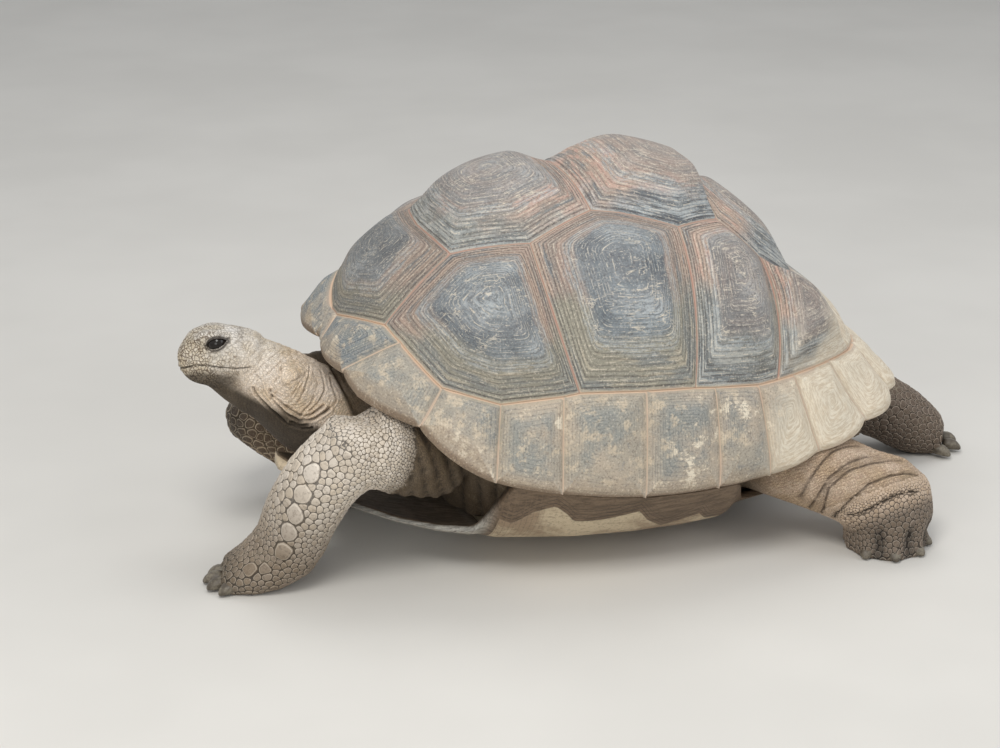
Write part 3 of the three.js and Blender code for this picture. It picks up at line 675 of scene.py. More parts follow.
def rim_colours(tree, spot, ring, blotch, tones):
    """Khaki with slate patches and dried mud, brown along the free edge, and painted shade at its lip."""
    inward = attribute(tree, "inward")
    broad, rough = grain(tree, spot, 6, 4.0, 0.6), grain(tree, spot, 34, 7.0, 0.72)
    base = mix(tree, between(tree, broad, 0.42, 0.58), KHAKI_GREY, KHAKI)
    patch = times(tree, between(tree, inward, 0.10, 0.50), between(tree, blotch, 0.42, 0.60), 0.85)
    base = mix(tree, patch, base, RIM_SLATE)
    tint = times(tree, attribute(tree, "tint"), between(tree, blotch, 0.30, 0.55))
    slates = mix(tree, between(tree, tones, 0.44, 0.58), SLATE, RIM_SLATE)
    base = mix(tree, times(tree, tint, 0.8), base, slates)
    base = mix(tree, times(tree, between(tree, rough, 0.50, 0.62), 0.75), base, DUST_WARM)
    scuffed = times(tree, between(tree, rough, 0.56, 0.60), between(tree, broad, 0.50, 0.62))
    base = mix(tree, times(tree, scuffed, 0.8), base, DUST)
    base = mix(tree, times(tree, between(tree, rough, 0.42, 0.32), 0.5), base, SLATE)
    dark_line = times(tree, ring_lines(tree, ring, tones, 0.20), between(tree, blotch, 0.36, 0.56))
    base = mix(tree, times(tree, dark_line, plus(tree, 0.28, times(tree, tint, 0.4))), base, SLATE_DARK)
    seam = attribute(tree, "from_seam")
    lower = between(tree, plus(tree, seam, swing(tree, blotch, 0.05)), 0.040, 0.012)
    lower = times(tree, attribute(tree, "free_side"), lower)
    base = mix(tree, times(tree, lower, 0.5), base, RIM_BROWN)
    # Painted shade: the last few millimetres of the free edge, which turn under, are darkened.
    under = times(tree, attribute(tree, "free_side"), between(tree, seam, 0.011, 0.003))
    base = mix(tree, times(tree, under, 0.8), base, RIM_EDGE_SHADE)
    return base, dark_line


def horn_tree(tree, shader, rim):
    spot = place(tree)
    ring, seam, rim_side = (attribute(tree, k) for k in ("ring", "from_seam", "rim_side"))
    closed = minus(tree, 1.0, attribute(tree, "free_side"))
    tones = streaks(tree, spot, ring, 14, 0.8, 4.0, 0.7)
    fine = streaks(tree, spot, ring, 60, 2.6, 4.0, 0.7)
    blotch, speck = grain(tree, spot, 9, 6.0, 0.62), grain(tree, spot, 280, 3.0, 0.6)
    if rim:
        base, dark_line = rim_colours(tree, spot, ring, blotch, tones)
    else:
        base, dark_line = dome_colours(tree, spot, ring, blotch, tones, fine)
    base = mix(tree, times(tree, between(tree, speck, 0.47, 0.32), 0.45), base, LINE_DARK)
    base = mix(tree, times(tree, between(tree, speck, 0.56, 0.70), 0.45), base, CREAM)
    dust_tone = mix(tree, between(tree, fine, 0.40, 0.60), DUST_WARM, DUST)
    base = mix(tree, times(tree, dust_mask(tree, spot, blotch), 0.85), base, dust_tone)
    base = seam_layers(tree, base, seam, rim_side, closed, blotch, rim)
    tree.links.new(base, shader.inputs["Base Color"])
    tree.links.new(plus(tree, 0.56, times(tree, speck, 0.25)), shader.inputs["Roughness"])
    lines = times(tree, dark_line, -0.3 if rim else -0.9)
    bump(tree, shader, plus(tree, lines, plus(tree, fine, times(tree, speck, 0.25))), 0.7, 0.0009)


dome_horn = finish_material("dome_horn", lambda tree, shader: horn_tree(tree, shader, False))
rim_horn = finish_material("rim_horn", lambda tree, shader: horn_tree(tree, shader, True))
for name, piece in scute_pieces.items():
    on_dome = scutes[name]["thick"] == PLATE
    piece.data.materials.append(dome_horn if on_dome else rim_horn)
    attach(piece, "root")
    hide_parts(name)

# %% [markdown]
# Under the dome lies the plastron, a tray whose sides climb to the rim between the legs: the bridge. It
# is a loft of sections along X. Where a width is 0 the section reaches for the rim of the dome instead.

# %% The plastron
TRAY = [  # x, half-width, underside, rise of the side, in millimetres
    (-606, 22, 156, 6), (-565, 60, 136, 8), (-505, 126, 106, 14), (-425, 188, 82, 22), (-345, 232, 64, 28),
    (-288, 262, 55, 40), (-252, 0, 50, 0), (-110, 0, 42, 0), (0, 0, 40, 0), (100, 0, 41, 0), (178, 0, 45, 0),
    (228, 245, 50, 40), (300, 215, 57, 26), (380, 165, 68, 18), (440, 104, 80, 12), (468, 50, 86, 8)]
TIP_THICK, TIP_FROM = 0.030, -0.505
TRAY_THICK, SIDE_POWER, BRIDGE_INSET, BRIDGE_BELOW_RIM = 0.018, 5.2, 0.014, 0.005
SCALLOPS = [  # x and height of the cream's upper edge, in millimetres
    (-260, 138), (-241, 131), (-210, 158), (-172, 170), (-150, 150), (-132, 128), (-108, 127), (-60, 131),
    (-14, 142), (10, 112), (48, 84), (82, 100), (112, 112), (135, 84), (190, 78)]
SCALLOPS_MIDDLE, SCALLOPS_HALF, NO_SCALLOP = -0.03, 0.235, 0.2
CROSS_SEAMS = [-0.505, -0.325, -0.235, 0.205, 0.375]
SEAM_RIDGE, SEAM_RIDGE_WIDTH = 0.0020, 0.0022
TRAY_ROWS, TRAY_COLUMNS = 170, 48
INSIDE = 0.2  # added to from_seam on the tray's inner face


def tray_sections():
    """Half-width, underside and rise along the tray, evenly sampled and lightly rounded."""
    azimuth = np.linspace(40, 140, 201)
    rim = shell_surface(round_about(azimuth, np.interp(azimuth, RIM_AZIMUTH, RIM_HEIGHT)).T)
    rows = []
    for x, width, under, rise in np.array(TRAY) / 1000:
        if width == 0:
            width = -np.interp(x, rim[:, 0], rim[:, 1]) - BRIDGE_INSET
            rise = np.interp(x, rim[:, 0], rim[:, 2]) - BRIDGE_BELOW_RIM - under
        rows.append((x, width, under, rise))
    rows = np.array(rows)
    x = np.linspace(rows[0, 0], rows[-1, 0], TRAY_ROWS)
    sections = np.stack([np.interp(x, rows[:, 0], rows[:, k]) for k in (1, 2, 3)], 1)
    for _ in range(3):
        sections[1:-1] = (sections[:-2] + 2 * sections[1:-1] + sections[2:]) / 4
    return x, *sections.T


def build_plastron():
    x, width, under, rise = (v[:, None] for v in tray_sections())
    across = np.sin(np.linspace(-0.5, 0.5, TRAY_COLUMNS) * math.pi)[None]
    side = np.abs(across) ** SIDE_POWER
    seam = np.minimum(np.abs(across * width), np.abs(x - np.array(CROSS_SEAMS)).min(axis=1, keepdims=True))
    ridge = SEAM_RIDGE * bell(seam, SEAM_RIDGE_WIDTH)
    lower = np.stack([x + 0 * across, across * width, under + rise * side + ridge], 2)
    thick = np.minimum(TRAY_THICK, 0.6 * width)
    deep = TRAY_THICK + (TIP_THICK - TRAY_THICK) * np.clip((TIP_FROM - x) / (TIP_FROM - x[0]), 0, 1)
    upper = np.stack([x + 0 * across, across * np.maximum(0.004, width - thick),
                      under + deep + np.maximum(0.0005, rise - TRAY_THICK + 0.004) * side], 2)
    rings = np.concatenate([lower, upper[:, ::-1]], 1)
    m, n = rings.shape[:2]
    scallop = np.interp(x, *(np.array(SCALLOPS).T / 1000))
    at_scallops = np.abs(x - SCALLOPS_MIDDLE) < SCALLOPS_HALF
    above = np.where(at_scallops, rings[..., 2] - scallop, NO_SCALLOP)
    faces = bands(m, n)[:, [0, 3, 2, 1]].tolist() + [list(range(n)), list(range((m - 1) * n, m * n))[::-1]]
    mesh = bpy.data.meshes.new("plastron_horn")
    mesh.from_pydata((rings.reshape(-1, 3) + HOME).tolist(), [], faces)
    store_value(mesh, "above_scallop", above)
    store_value(mesh, "from_seam", np.concatenate([seam, seam[:, ::-1] + INSIDE], 1))
    body = bmesh.new()
    body.from_mesh(mesh)
    bmesh.ops.recalc_face_normals(body, faces=body.faces)
    body.to_mesh(mesh)
    body.free()
    mesh.shade_smooth()
    return into_scene("plastron_horn", mesh)


# BRIDGE_SHADE_DARK is painted shade for the bridge under the rim and the inner face of the front lobe.
BRIDGE_SHADE_DARK, BRIDGE_BROWN, BRIDGE_LINE = colour(90, 74, 57), colour(117, 98, 78), colour(54, 43, 35)
BRIDGE_CREAM, BRIDGE_SAND = colour(196, 180, 152), colour(150, 130, 106)
LOBE_GREY, LOBE_PALE, TIP_CREAM = colour(140, 136, 128), colour(190, 186, 176), colour(206, 188, 160)
LOBE_BACK, LOBE_FROM, TIP_BACK, TIP_FRONT = -0.262, -0.292, -0.52, -0.58  # x, from the shell's axis


def tray_tree(tree, shader):
    """Brown streaks, partly painted shade under the rim, above the scallops and cream below; a grey front
    lobe, brown with painted shade on its inner face.
    """
    spot = place(tree)
    along = add(tree, "ShaderNodeSeparateXYZ", {0: spot}).outputs["X"]
    above, seam = attribute(tree, "above_scallop"), attribute(tree, "from_seam")
    blotch, fine = grain(tree, spot, 11, 5.0, 0.6), grain(tree, spot, 170, 4.0, 0.65)
    lobe = between(tree, along, HOME[0] + LOBE_BACK, HOME[0] + LOBE_FROM)
    long_grain = add(tree, "ShaderNodeMapping", {"Vector": spot, "Scale": (0.12, 1.0, 1.0)}).outputs[0]
    streak = grain(tree, long_grain, 150, 4.0, 0.7)
    ripple = plus(tree, above, swing(tree, blotch, 0.010))
    # Brown grain mixed with painted shade, for the bridge under the rim and the lobe's inner face.
    streaks_and_shade = mix(tree, between(tree, streak, 0.40, 0.60), BRIDGE_SHADE_DARK, BRIDGE_BROWN)
    line = between(tree, sums(tree, "PINGPONG", ripple, 0.0045), 0.0014, 0.0004)
    brown = mix(tree, times(tree, line, between(tree, ripple, 0.045, 0.020), 0.65), streaks_and_shade, BRIDGE_LINE)
    cream = mix(tree, between(tree, blotch, 0.42, 0.62), BRIDGE_CREAM, BRIDGE_SAND)
    cream = mix(tree, times(tree, between(tree, streak, 0.56, 0.70), 0.5), cream, BRIDGE_BROWN)
    base = mix(tree, between(tree, ripple, 0.0014, -0.0014), brown, cream)
    grey = mix(tree, between(tree, streak, 0.38, 0.62), LOBE_GREY, LOBE_PALE)
    grey = mix(tree, between(tree, along, HOME[0] + TIP_BACK, HOME[0] + TIP_FRONT), grey, TIP_CREAM)
    inner = times(tree, lobe, between(tree, seam, INSIDE - 0.01, INSIDE))
    base = mix(tree, lobe, base, grey)
    base = mix(tree, times(tree, inner, 0.85), base, streaks_and_shade)
    base = mix(tree, between(tree, seam, 0.0030, 0.0012), base, BRIDGE_LINE)
    rings = between(tree, sums(tree, "PINGPONG", seam, 0.0045), 0.0012, 0.0004)
    base = mix(tree, times(tree, rings, between(tree, seam, 0.060, 0.030), 0.4), base, BRIDGE_BROWN)
    base = mix(tree, times(tree, between(tree, fine, 0.50, 0.34), 0.35), base, BRIDGE_LINE)
    tree.links.new(base, shader.inputs["Base Color"])
    bump(tree, shader, plus(tree, fine, times(tree, line, -0.6)), 0.5, 0.0009)


tray = build_plastron()
tray.data.materials.append(finish_material("plastron_horn", tray_tree, 0.62))
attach(tray, "root")
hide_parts("plastron")
print("plastron", len(tray.data.polygons), "faces")

# %% [markdown]
# All the flesh is one skin. The frame's solids of the trunk, legs, feet, tail, neck and head are copied,
# grown by a hair so that they overlap, and melted together by a voxel remesh. Smoothing takes away the
# facets. The stretch under the plates is never seen, so a plain lid takes its place.

# %% Melt the flesh solids into one skin
LIMB_NAMES = ["foreleg_left", "foreleg_right", "hindleg_left", "hindleg_right",
              "forefoot_left", "forefoot_right", "hindfoot_left", "hindfoot_right"]
FLESH = ["trunk", "tail", "head", "jaw", "neck"] + LIMB_NAMES
GROW, VOXEL, SMOOTH_ROUNDS = 0.0012, 0.0075, 5
LID_ABOVE_RIM = 8  # degrees of flesh kept above the rim's lower edge
LID_RISE = 0.08  # middle of the lid over the dome's centre


def apply_modifiers(piece):
    seen = piece.evaluated_get(bpy.context.evaluated_depsgraph_get())
    mesh = bpy.data.meshes.new_from_object(seen)
    piece.modifiers.clear()
    piece.data = mesh
    return mesh


def melt(name, nodes):
    """One smooth mesh round all the nodes' solids."""
    whole = bmesh.new()
    for node in nodes:
        part = bmesh.new()
        part.from_mesh(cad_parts[node].data)
        bmesh.ops.remove_doubles(part, verts=part.verts, dist=1e-5)
        part.normal_update()
        for v in part.verts:
            v.co += v.normal * GROW
        copy = bpy.data.meshes.new("part")
        part.to_mesh(copy)
        part.free()
        whole.from_mesh(copy)
        bpy.data.meshes.remove(copy)
    mesh = bpy.data.meshes.new(name)
    whole.to_mesh(mesh)
    whole.free()
    piece = into_scene(name, mesh)
    remesh = piece.modifiers.new("melt", "REMESH")
    remesh.mode, remesh.voxel_size = "VOXEL", VOXEL
    soften = piece.modifiers.new("soften", "SMOOTH")
    soften.factor, soften.iterations = 0.5, SMOOTH_ROUNDS
    apply_modifiers(piece)
    return piece


def lid_under_dome(mesh):
    """Flesh well above the rim is never seen: it gives way to a plain lid inside the shell."""
    points = coordinates(mesh) - HOME - DOME_CENTRE
    d = unit(points)
    azimuth = np.degrees(np.arctan2(np.abs(d[:, 1]), -d[:, 0]))
    above = np.degrees(np.arcsin(d[:, 2])) - np.interp(azimuth, RIM_AZIMUTH, RIM_HEIGHT)
    body = bmesh.new()
    body.from_mesh(mesh)
    body.verts.ensure_lookup_table()
    hidden = [body.verts[i] for i in np.flatnonzero(above > LID_ABOVE_RIM)]
    bmesh.ops.delete(body, geom=hidden, context="VERTS")
    middle = body.verts.new(Vector(HOME + DOME_CENTRE + np.array([0, 0, LID_RISE])))
    for edge in [e for e in body.edges if e.is_boundary]:
        first, last = edge.verts
        if edge.link_loops[0].vert is first:
            first, last = last, first
        body.faces.new((first, last, middle))
    body.to_mesh(mesh)
    body.free()


skin = melt("skin", FLESH + ["eye_left", "eye_right"])
print("melted skin has", len(skin.data.vertices), "points")
lid_under_dome(skin.data)
print("kept", len(skin.data.vertices), "points")

# %% [markdown]
# Folds and scales follow each limb, so every point of the skin is given its place along the nearest
# limb and its turn round it. The limbs' middle lines are a few points with a radius each.

# %% Middle lines of the limbs
LIMBS = {  # x, y, z, radius from the shell's axis, in metres
    "foreleg_left": [
        (-0.34, -0.18, 0.225, 0.08), (-0.42, -0.225, 0.262, 0.08), (-0.496, -0.250, 0.285, 0.068),
        (-0.562, -0.222, 0.222, 0.069), (-0.600, -0.195, 0.146, 0.070), (-0.630, -0.174, 0.070, 0.068),
        (-0.692, -0.158, 0.030, 0.055), (-0.760, -0.145, 0.015, 0.030)],
    "foreleg_right": [
        (-0.34, 0.18, 0.220, 0.08), (-0.45, 0.205, 0.226, 0.076), (-0.600, 0.210, 0.206, 0.064),
        (-0.535, 0.203, 0.130, 0.064), (-0.476, 0.194, 0.072, 0.066), (-0.452, 0.188, 0.0, 0.068)],
    "hindleg_left": [
        (0.28, -0.18, 0.166, 0.085), (0.37, -0.265, 0.144, 0.083), (0.450, -0.313, 0.112, 0.083),
        (0.490, -0.326, 0.082, 0.088), (0.488, -0.330, 0.044, 0.080), (0.488, -0.330, 0.0, 0.077)],
    "hindleg_right": [
        (0.30, 0.175, 0.172, 0.086), (0.42, 0.17, 0.148, 0.08), (0.520, 0.148, 0.138, 0.073),
        (0.590, 0.128, 0.126, 0.071), (0.676, 0.106, 0.098, 0.067), (0.736, 0.093, 0.060, 0.064),
        (0.778, 0.084, 0.036, 0.053), (0.80, 0.077, 0.025, 0.040)],
    "tail": [
        (0.455, 0, 0.19, 0.042), (0.530, 0.006, 0.15, 0.03), (0.572, 0.012, 0.104, 0.02),
        (0.584, 0.015, 0.078, 0.01)],
    "neck": [
        (-0.40, 0, 0.225, 0.104), (-0.49, 0, 0.244, 0.10), (-0.549, 0, 0.272, 0.086),
        (-0.600, 0.005, 0.318, 0.077), (-0.640, 0.011, 0.352, 0.062)],
    "head": [
        (-0.640, 0.011, 0.375, 0.058), (-0.700, 0.027, 0.380, 0.055), (-0.765, 0.043, 0.378, 0.030)],
}
TRUNK_GAP, SHARE_BLUR = 0.035, 0.010  # how a point is shared out between limbs and trunk


def along_limb(points, name):
    """Distance along the middle line, turn round it, and gap to the limb's own surface."""
    line = np.array(LIMBS[name])
    best = np.full(len(points), np.inf)
    along, turn = np.zeros(len(points)), np.zeros(len(points))
    start = 0.0
    for a, b in zip(line, line[1:]):
        step = b[:3] - a[:3]
        length = np.linalg.norm(step)
        t = np.clip((points - a[:3]) @ step / length ** 2, 0, 1)
        offset = points - a[:3] - t[:, None] * step
        gap = np.linalg.norm(offset, axis=1) - (a[3] + (b[3] - a[3]) * t)
        tangent = step / length
        side = unit(np.array([0, 1, 0]) - tangent * tangent[1])
        over = np.cross(tangent, side)
        near = gap < best
        best[near] = gap[near]
        along[near] = (start + t * length)[near]
        turn[near] = np.arctan2(offset @ over, offset @ side)[near]
        start += length
    return along, turn, best


def nearest_limbs(points):
    """For each limb a soft share of the point, and its place along that limb."""
    table = {name: along_limb(points, name) for name in LIMBS}
    gaps = np.array([table[name][2] for name in LIMBS])
    trunk = np.full((1, len(points)), TRUNK_GAP)
    weight = np.exp(-np.concatenate([gaps, trunk]) / SHARE_BLUR)
    weight /= weight.sum(axis=0)
    return table, dict(zip(list(LIMBS) + ["trunk"], weight))


print("limbs:", ", ".join(LIMBS))

# %% [markdown]
# The head needs a finer mesh than the legs, and the eye the finest. Faces there are split once or twice.
# A frame of its own, from the nose back, makes it easy to say where lids, beak and mouth go.

# %% A finer mesh for the head
NOSE = np.array([-0.775, 0.045, 0.381])
HEAD_YAW, HEAD_PITCH, HEAD_ROLL = np.radians(-14), np.radians(0.8), np.radians(-8)
EYE_BACK, EYE_OUT, EYE_UP, EYE_RADIUS = 0.077, 0.044, 0.030, 0.0175


def turned(yaw, pitch, roll):
    (cy, sy), (cp, sp), (cr, sr) = ((np.cos(v), np.sin(v)) for v in (yaw, pitch, roll))
    about_z = np.array([[cy, -sy, 0], [sy, cy, 0], [0, 0, 1]])
    about_y = np.array([[cp, 0, sp], [0, 1, 0], [-sp, 0, cp]])
    about_x = np.array([[1, 0, 0], [0, cr, -sr], [0, sr, cr]])
    return about_z @ about_y @ about_x


HEAD_TURN = turned(HEAD_YAW, HEAD_PITCH, HEAD_ROLL)


def to_head(points):
    return (points - HOME - NOSE) @ HEAD_TURN


def from_head(points):
    return points @ HEAD_TURN.T + NOSE + HOME


def split_faces(mesh, wanted):
    """Splits the faces whose points are all wanted."""
    body = bmesh.new()
    body.from_mesh(mesh)
    body.verts.ensure_lookup_table()
    keep = set(np.flatnonzero(wanted).tolist())
    edges = [e for e in body.edges if e.verts[0].index in keep and e.verts[1].index in keep]
    bmesh.ops.subdivide_edges(body, edges=edges, cuts=1, use_grid_fill=True, smooth=0.0)
    body.to_mesh(mesh)
    body.free()


def side_signs(local):
    """Times this, a point on either side of the head lands on one and the same side."""
    return np.where(local[:, 1:2] < 0, MIRROR, 1)


def near_eye(local, reach):
    eye = np.array([EYE_BACK, EYE_OUT, EYE_UP])
    return np.linalg.norm(local * side_signs(local) - eye, axis=1) < reach


MOUTH_BACK = [0.0, 0.014, 0.035, 0.055, 0.080, 0.110, 0.138]
MOUTH_HEIGHT = [-0.024, -0.0190, -0.0115, -0.0100, -0.0120, -0.0132, -0.0108]


def from_mouth(local):
    return local[:, 2] - np.interp(local[:, 0], MOUTH_BACK, MOUTH_HEIGHT)


def on_bulge(local):
    """The side of the neck behind the cheek, where the skin is most folded."""
    return (local[:, 0] > 0.13) & (local[:, 0] < 0.31) & (np.abs(local[:, 2] + 0.055) < 0.075) \
        & (np.abs(local[:, 1]) > 0.012) & (np.abs(local[:, 1]) < 0.09)


FINE_BY_EYE, FINE_BY_MOUTH = 0.034, 0.008
spots = coordinates(skin.data) - HOME
local = to_head(spots + HOME)
on_head = (local[:, 0] < 0.165) & (np.abs(local[:, 1]) < 0.09) & (np.abs(local[:, 2]) < 0.09)
on_neck = (spots[:, 0] < -0.47) & (spots[:, 2] > 0.20) & (local[:, 0] > 0.1) & (np.abs(spots[:, 1]) < 0.14)
on_thigh = (spots[:, 0] > 0.32) & (spots[:, 1] < -0.20) & (spots[:, 2] > 0.02)
split_faces(skin.data, on_head | on_neck | on_thigh)
local = to_head(coordinates(skin.data))
at_mouth = (np.abs(from_mouth(local)) < FINE_BY_MOUTH) & (local[:, 0] < 0.146)
split_faces(skin.data, near_eye(local, FINE_BY_EYE) | at_mouth | (local[:, 0] < 0.006) | on_bulge(local))
print("skin has", len(skin.data.vertices), "points after the split")

# %% [markdown]
# The head is shaped in its own frame: lids round the eyes, a groove for the mouth, a beak edge,
# nostrils, a fold from snout to eye, and the soft drum of the ear. A lid is a thin dome over the eyeball
# with an almond cut out of it, so the skin is lifted onto that dome and sunk inside the almond.

# %% Lids, beak, nostrils
LID_THICK, ALMOND_LONG, ALMOND_UP, ALMOND_DOWN, ALMOND_TILT = 0.0017, 0.0185, 0.0090, 0.0084, -0.30
GAZE = unit(np.array([-0.20, 1.0, 0.10]))
LIP_AT, LIP_HIGH, LIP_WIDE = 0.0012, 0.0012, 0.0016
LID_EDGE, BALL_SUNK, LID_REACH = 0.0010, 0.0035, 0.034
LID_CREASES = [(0.0062, 0.0022, 0.0016), (0.0105, 0.0010, 0.0015)]  # out from the opening, depth, width


def eye_frame(local):
    """Each point seen from its own side's eye: back, up, and out along the gaze."""
    v = local * side_signs(local) - np.array([EYE_BACK, EYE_OUT, EYE_UP])
    rear = unit(np.array([1.0, 0, 0]) - GAZE * GAZE[0])
    upward = np.cross(rear, GAZE)
    upward = upward * np.sign(upward[2])
    a, b = v @ rear, v @ upward
    c, s = math.cos(ALMOND_TILT), math.sin(ALMOND_TILT)
    return a * c - b * s, a * s + b * c, v @ GAZE


def from_almond(back_of_eye, above_eye):
    """Metres outside the almond opening; negative inside it."""
    bow = np.sqrt(np.clip(1 - (back_of_eye / ALMOND_LONG) ** 2, 0, 1)) ** 1.3
    return np.maximum(np.maximum(above_eye - ALMOND_UP * bow, -ALMOND_DOWN * bow - above_eye),
                      np.abs(back_of_eye) - ALMOND_LONG)


def shape_lids(local):
    back_of_eye, above_eye, out = eye_frame(local)
    away = np.hypot(back_of_eye, above_eye)
    opening = from_almond(back_of_eye, above_eye)
    dome = np.sqrt(np.maximum((EYE_RADIUS + LID_THICK) ** 2 - away ** 2, 0))
    ball = np.sqrt(np.maximum(EYE_RADIUS ** 2 - away ** 2, 0))
    lip = LIP_HIGH * bell(opening - LIP_AT, LIP_WIDE)
    crease = sum(-depth * bell(opening - at, width) for at, depth, width in LID_CREASES)
    outside = np.where(away < EYE_RADIUS + LID_THICK, np.maximum(out, dome), out) + lip + crease
    inside = np.minimum(ball - BALL_SUNK, out)
    wanted = inside + (outside - inside) * ease(opening / LID_EDGE + 0.5)
    near = (away < LID_REACH) & (out > -0.010)
    move = np.where(near, wanted - out, 0)
    direction = GAZE * side_signs(local)
    return local + direction * (move * (1 - ease((away - 0.026) / 0.008)))[:, None]


def line_gap(points, line):
    line = np.array(line)
    gap = np.full(len(points), np.inf)
    for a, b in zip(line, line[1:]):
        t = np.clip((points - a) @ (b - a) / ((b - a) @ (b - a)), 0, 1)
        gap = np.minimum(gap, np.linalg.norm(points - a - t[:, None] * (b - a), axis=1))
    return gap


SNOUT_FOLD = [(0.012, 0.012, 0.024), (0.033, 0.035, 0.026), (0.047, 0.0405, 0.020), (0.056, 0.044, 0.0145)]
POUCH_FOLD = [(0.056, 0.047, 0.010), (0.072, 0.054, 0.004), (0.090, 0.058, 0.008), (0.100, 0.058, 0.018)]
JAW_FOLD = [(0.010, 0.018, -0.037), (0.030, 0.033, -0.036), (0.060, 0.047, -0.034), (0.095, 0.056, -0.040)]
FACE_FOLDS = [(SNOUT_FOLD, 0.0030, 0.0028), (POUCH_FOLD, 0.0014, 0.0024), (JAW_FOLD, 0.0016, 0.0026)]
LIPS = [(-0.0004, -0.0030, 0.0011), (0.0034, 0.0016, 0.0022), (-0.0050, 0.0012, 0.0026)]  # up, out, width
NOSTRIL, BROW, EAR = (0.0045, 0.0125, 0.001), (0.026, 0.026, 0.036), (0.208, 0.052, -0.029)


def shape_head(local):
    """How far each point of the head moves along its normal."""
    m = local * side_signs(local)
    above_mouth = from_mouth(local)
    on_mouth = ease((0.141 - local[:, 0]) / 0.006)
    beak = ease((0.105 - local[:, 0]) / 0.02)
    move = sum(out * bell(above_mouth - up, width) * on_mouth for up, out, width in LIPS)
    move -= 0.0011 * bell(above_mouth - 0.0115, 0.0016) * beak
    for line, depth, width in FACE_FOLDS:
        move -= depth * bell(line_gap(m, line), width)
    move -= 0.0050 * bell(np.linalg.norm(m - np.array(NOSTRIL), axis=1), 0.0030)
    move += 0.0016 * bell(np.linalg.norm(m - np.array(BROW), axis=1), 0.012)
    return move


points = coordinates(skin.data)
local = to_head(points)
share = ease((0.19 - local[:, 0]) / 0.02)
points = points + point_normals(skin.data) * (shape_head(local) * share)[:, None]
local = shape_lids(to_head(points))
set_coordinates(skin.data, from_head(local))
print("head shaped; eye opening", 2000 * ALMOND_LONG, "mm long")

# %% [markdown]
# Reptile skin hangs in rolls where it has to stretch: round the neck, over the thigh, in the armpit.
# A roll is the curved part of a sine, so one function makes them all. It takes any field whose level
# lines run along the folds, bent a little by noise, and keeps the creases narrow.

# %% Folds
def noise_at(points, scale, seed=0.0):
    offset = Vector((seed, seed * 0.7, -seed))
    return np.array([noise.noise(Vector(p) * scale + offset) for p in points.tolist()])


def rolls(field, depth, spacing, sharp=0.55):
    return depth * (np.abs(np.sin(math.pi * field / spacing)) ** sharp - 0.75)


LINE_OFF_SKIN = 0.032  # how far a line may float off the skin


def gap_in_skin(points, normals, line):
    """Distance to a line measured in the plane of the skin, so the line need not lie on it exactly."""
    line = np.array(line)
    best = np.full(len(points), np.inf)
    for a, b in zip(line, line[1:]):
        t = np.clip((points - a) @ (b - a) / ((b - a) @ (b - a)), 0, 1)
        off = points - a - t[:, None] * (b - a)
        sunk = (off * normals).sum(axis=1)
        flat = np.sqrt(np.maximum((off ** 2).sum(axis=1) - sunk ** 2, 0))
        best = np.minimum(best, np.where(np.abs(sunk) < LINE_OFF_SKIN, flat, np.inf))
    return best


def creased(points, normals, lines, depth, width, lip):
    """A crease along each line, so deep and so wide, with a soft lip on both its sides."""
    total = np.zeros(len(points))
    for line in lines:
        gap = gap_in_skin(points, normals, line)
        total += lip * bell(gap - 2.1 * width, width) - depth * bell(gap, width)
    return total


print("fold tools ready")

# %% [markdown]
# The strongest folds are drawn one by one, as short lines a few centimetres apart: the flap round the
# ear, the arcs behind it, the jowls under the jaw, and the creases round the left thigh.

# %% Lines of the folds
# Lines on the side of the neck, in the head's frame: back from the nose, out, up.
EAR_FLAP = [(0.193, 0.045, -0.014), (0.194, 0.058, -0.032), (0.198, 0.058, -0.044), (0.207, 0.058, -0.043),
            (0.219, 0.053, -0.037), (0.234, 0.036, -0.029)]
NECK_ARCS = [
    [(0.241, 0.015, -0.021), (0.243, 0.029, -0.028), (0.239, 0.041, -0.041), (0.230, 0.058, -0.065),
     (0.223, 0.060, -0.074)],
    [(0.260, 0.005, -0.030), (0.267, 0.023, -0.045), (0.270, 0.035, -0.060), (0.260, 0.050, -0.078),
     (0.243, 0.056, -0.093)],
    [(0.279, 0.005, -0.039), (0.283, 0.025, -0.054), (0.291, 0.036, -0.077), (0.286, 0.042, -0.087),
     (0.266, 0.051, -0.101)],
    [(0.252, 0.050, -0.067), (0.246, 0.056, -0.079), (0.236, 0.060, -0.088), (0.227, 0.059, -0.099)]]
JOWLS = [
    [(0.142, 0.062, -0.049), (0.147, 0.061, -0.064), (0.173, 0.060, -0.089), (0.202, 0.055, -0.115),
     (0.229, 0.056, -0.126), (0.247, 0.053, -0.123)],
    [(0.173, 0.066, -0.051), (0.177, 0.062, -0.069), (0.199, 0.061, -0.094), (0.224, 0.059, -0.109),
     (0.252, 0.055, -0.107), (0.277, 0.045, -0.092)],
    [(0.211, 0.054, -0.111), (0.226, 0.052, -0.118), (0.239, 0.054, -0.117)],
    [(0.177, 0.065, -0.062), (0.207, 0.063, -0.087), (0.232, 0.059, -0.103), (0.247, 0.056, -0.099),
     (0.267, 0.048, -0.086)]]
SLANTS = [
    [(0.149, 0.057, -0.027), (0.175, 0.061, -0.049), (0.202, 0.063, -0.073)],
    [(0.174, 0.065, -0.053), (0.189, 0.066, -0.068), (0.217, 0.062, -0.089)],
    [(0.234, 0.038, -0.032), (0.224, 0.051, -0.043), (0.212, 0.062, -0.064)],
    [(0.231, 0.047, -0.042), (0.217, 0.061, -0.066)],
    [(0.180, 0.034, 0.006), (0.158, 0.053, -0.010), (0.136, 0.055, -0.028)],
    [(0.193, 0.038, -0.006), (0.172, 0.056, -0.021), (0.150, 0.060, -0.035)]]
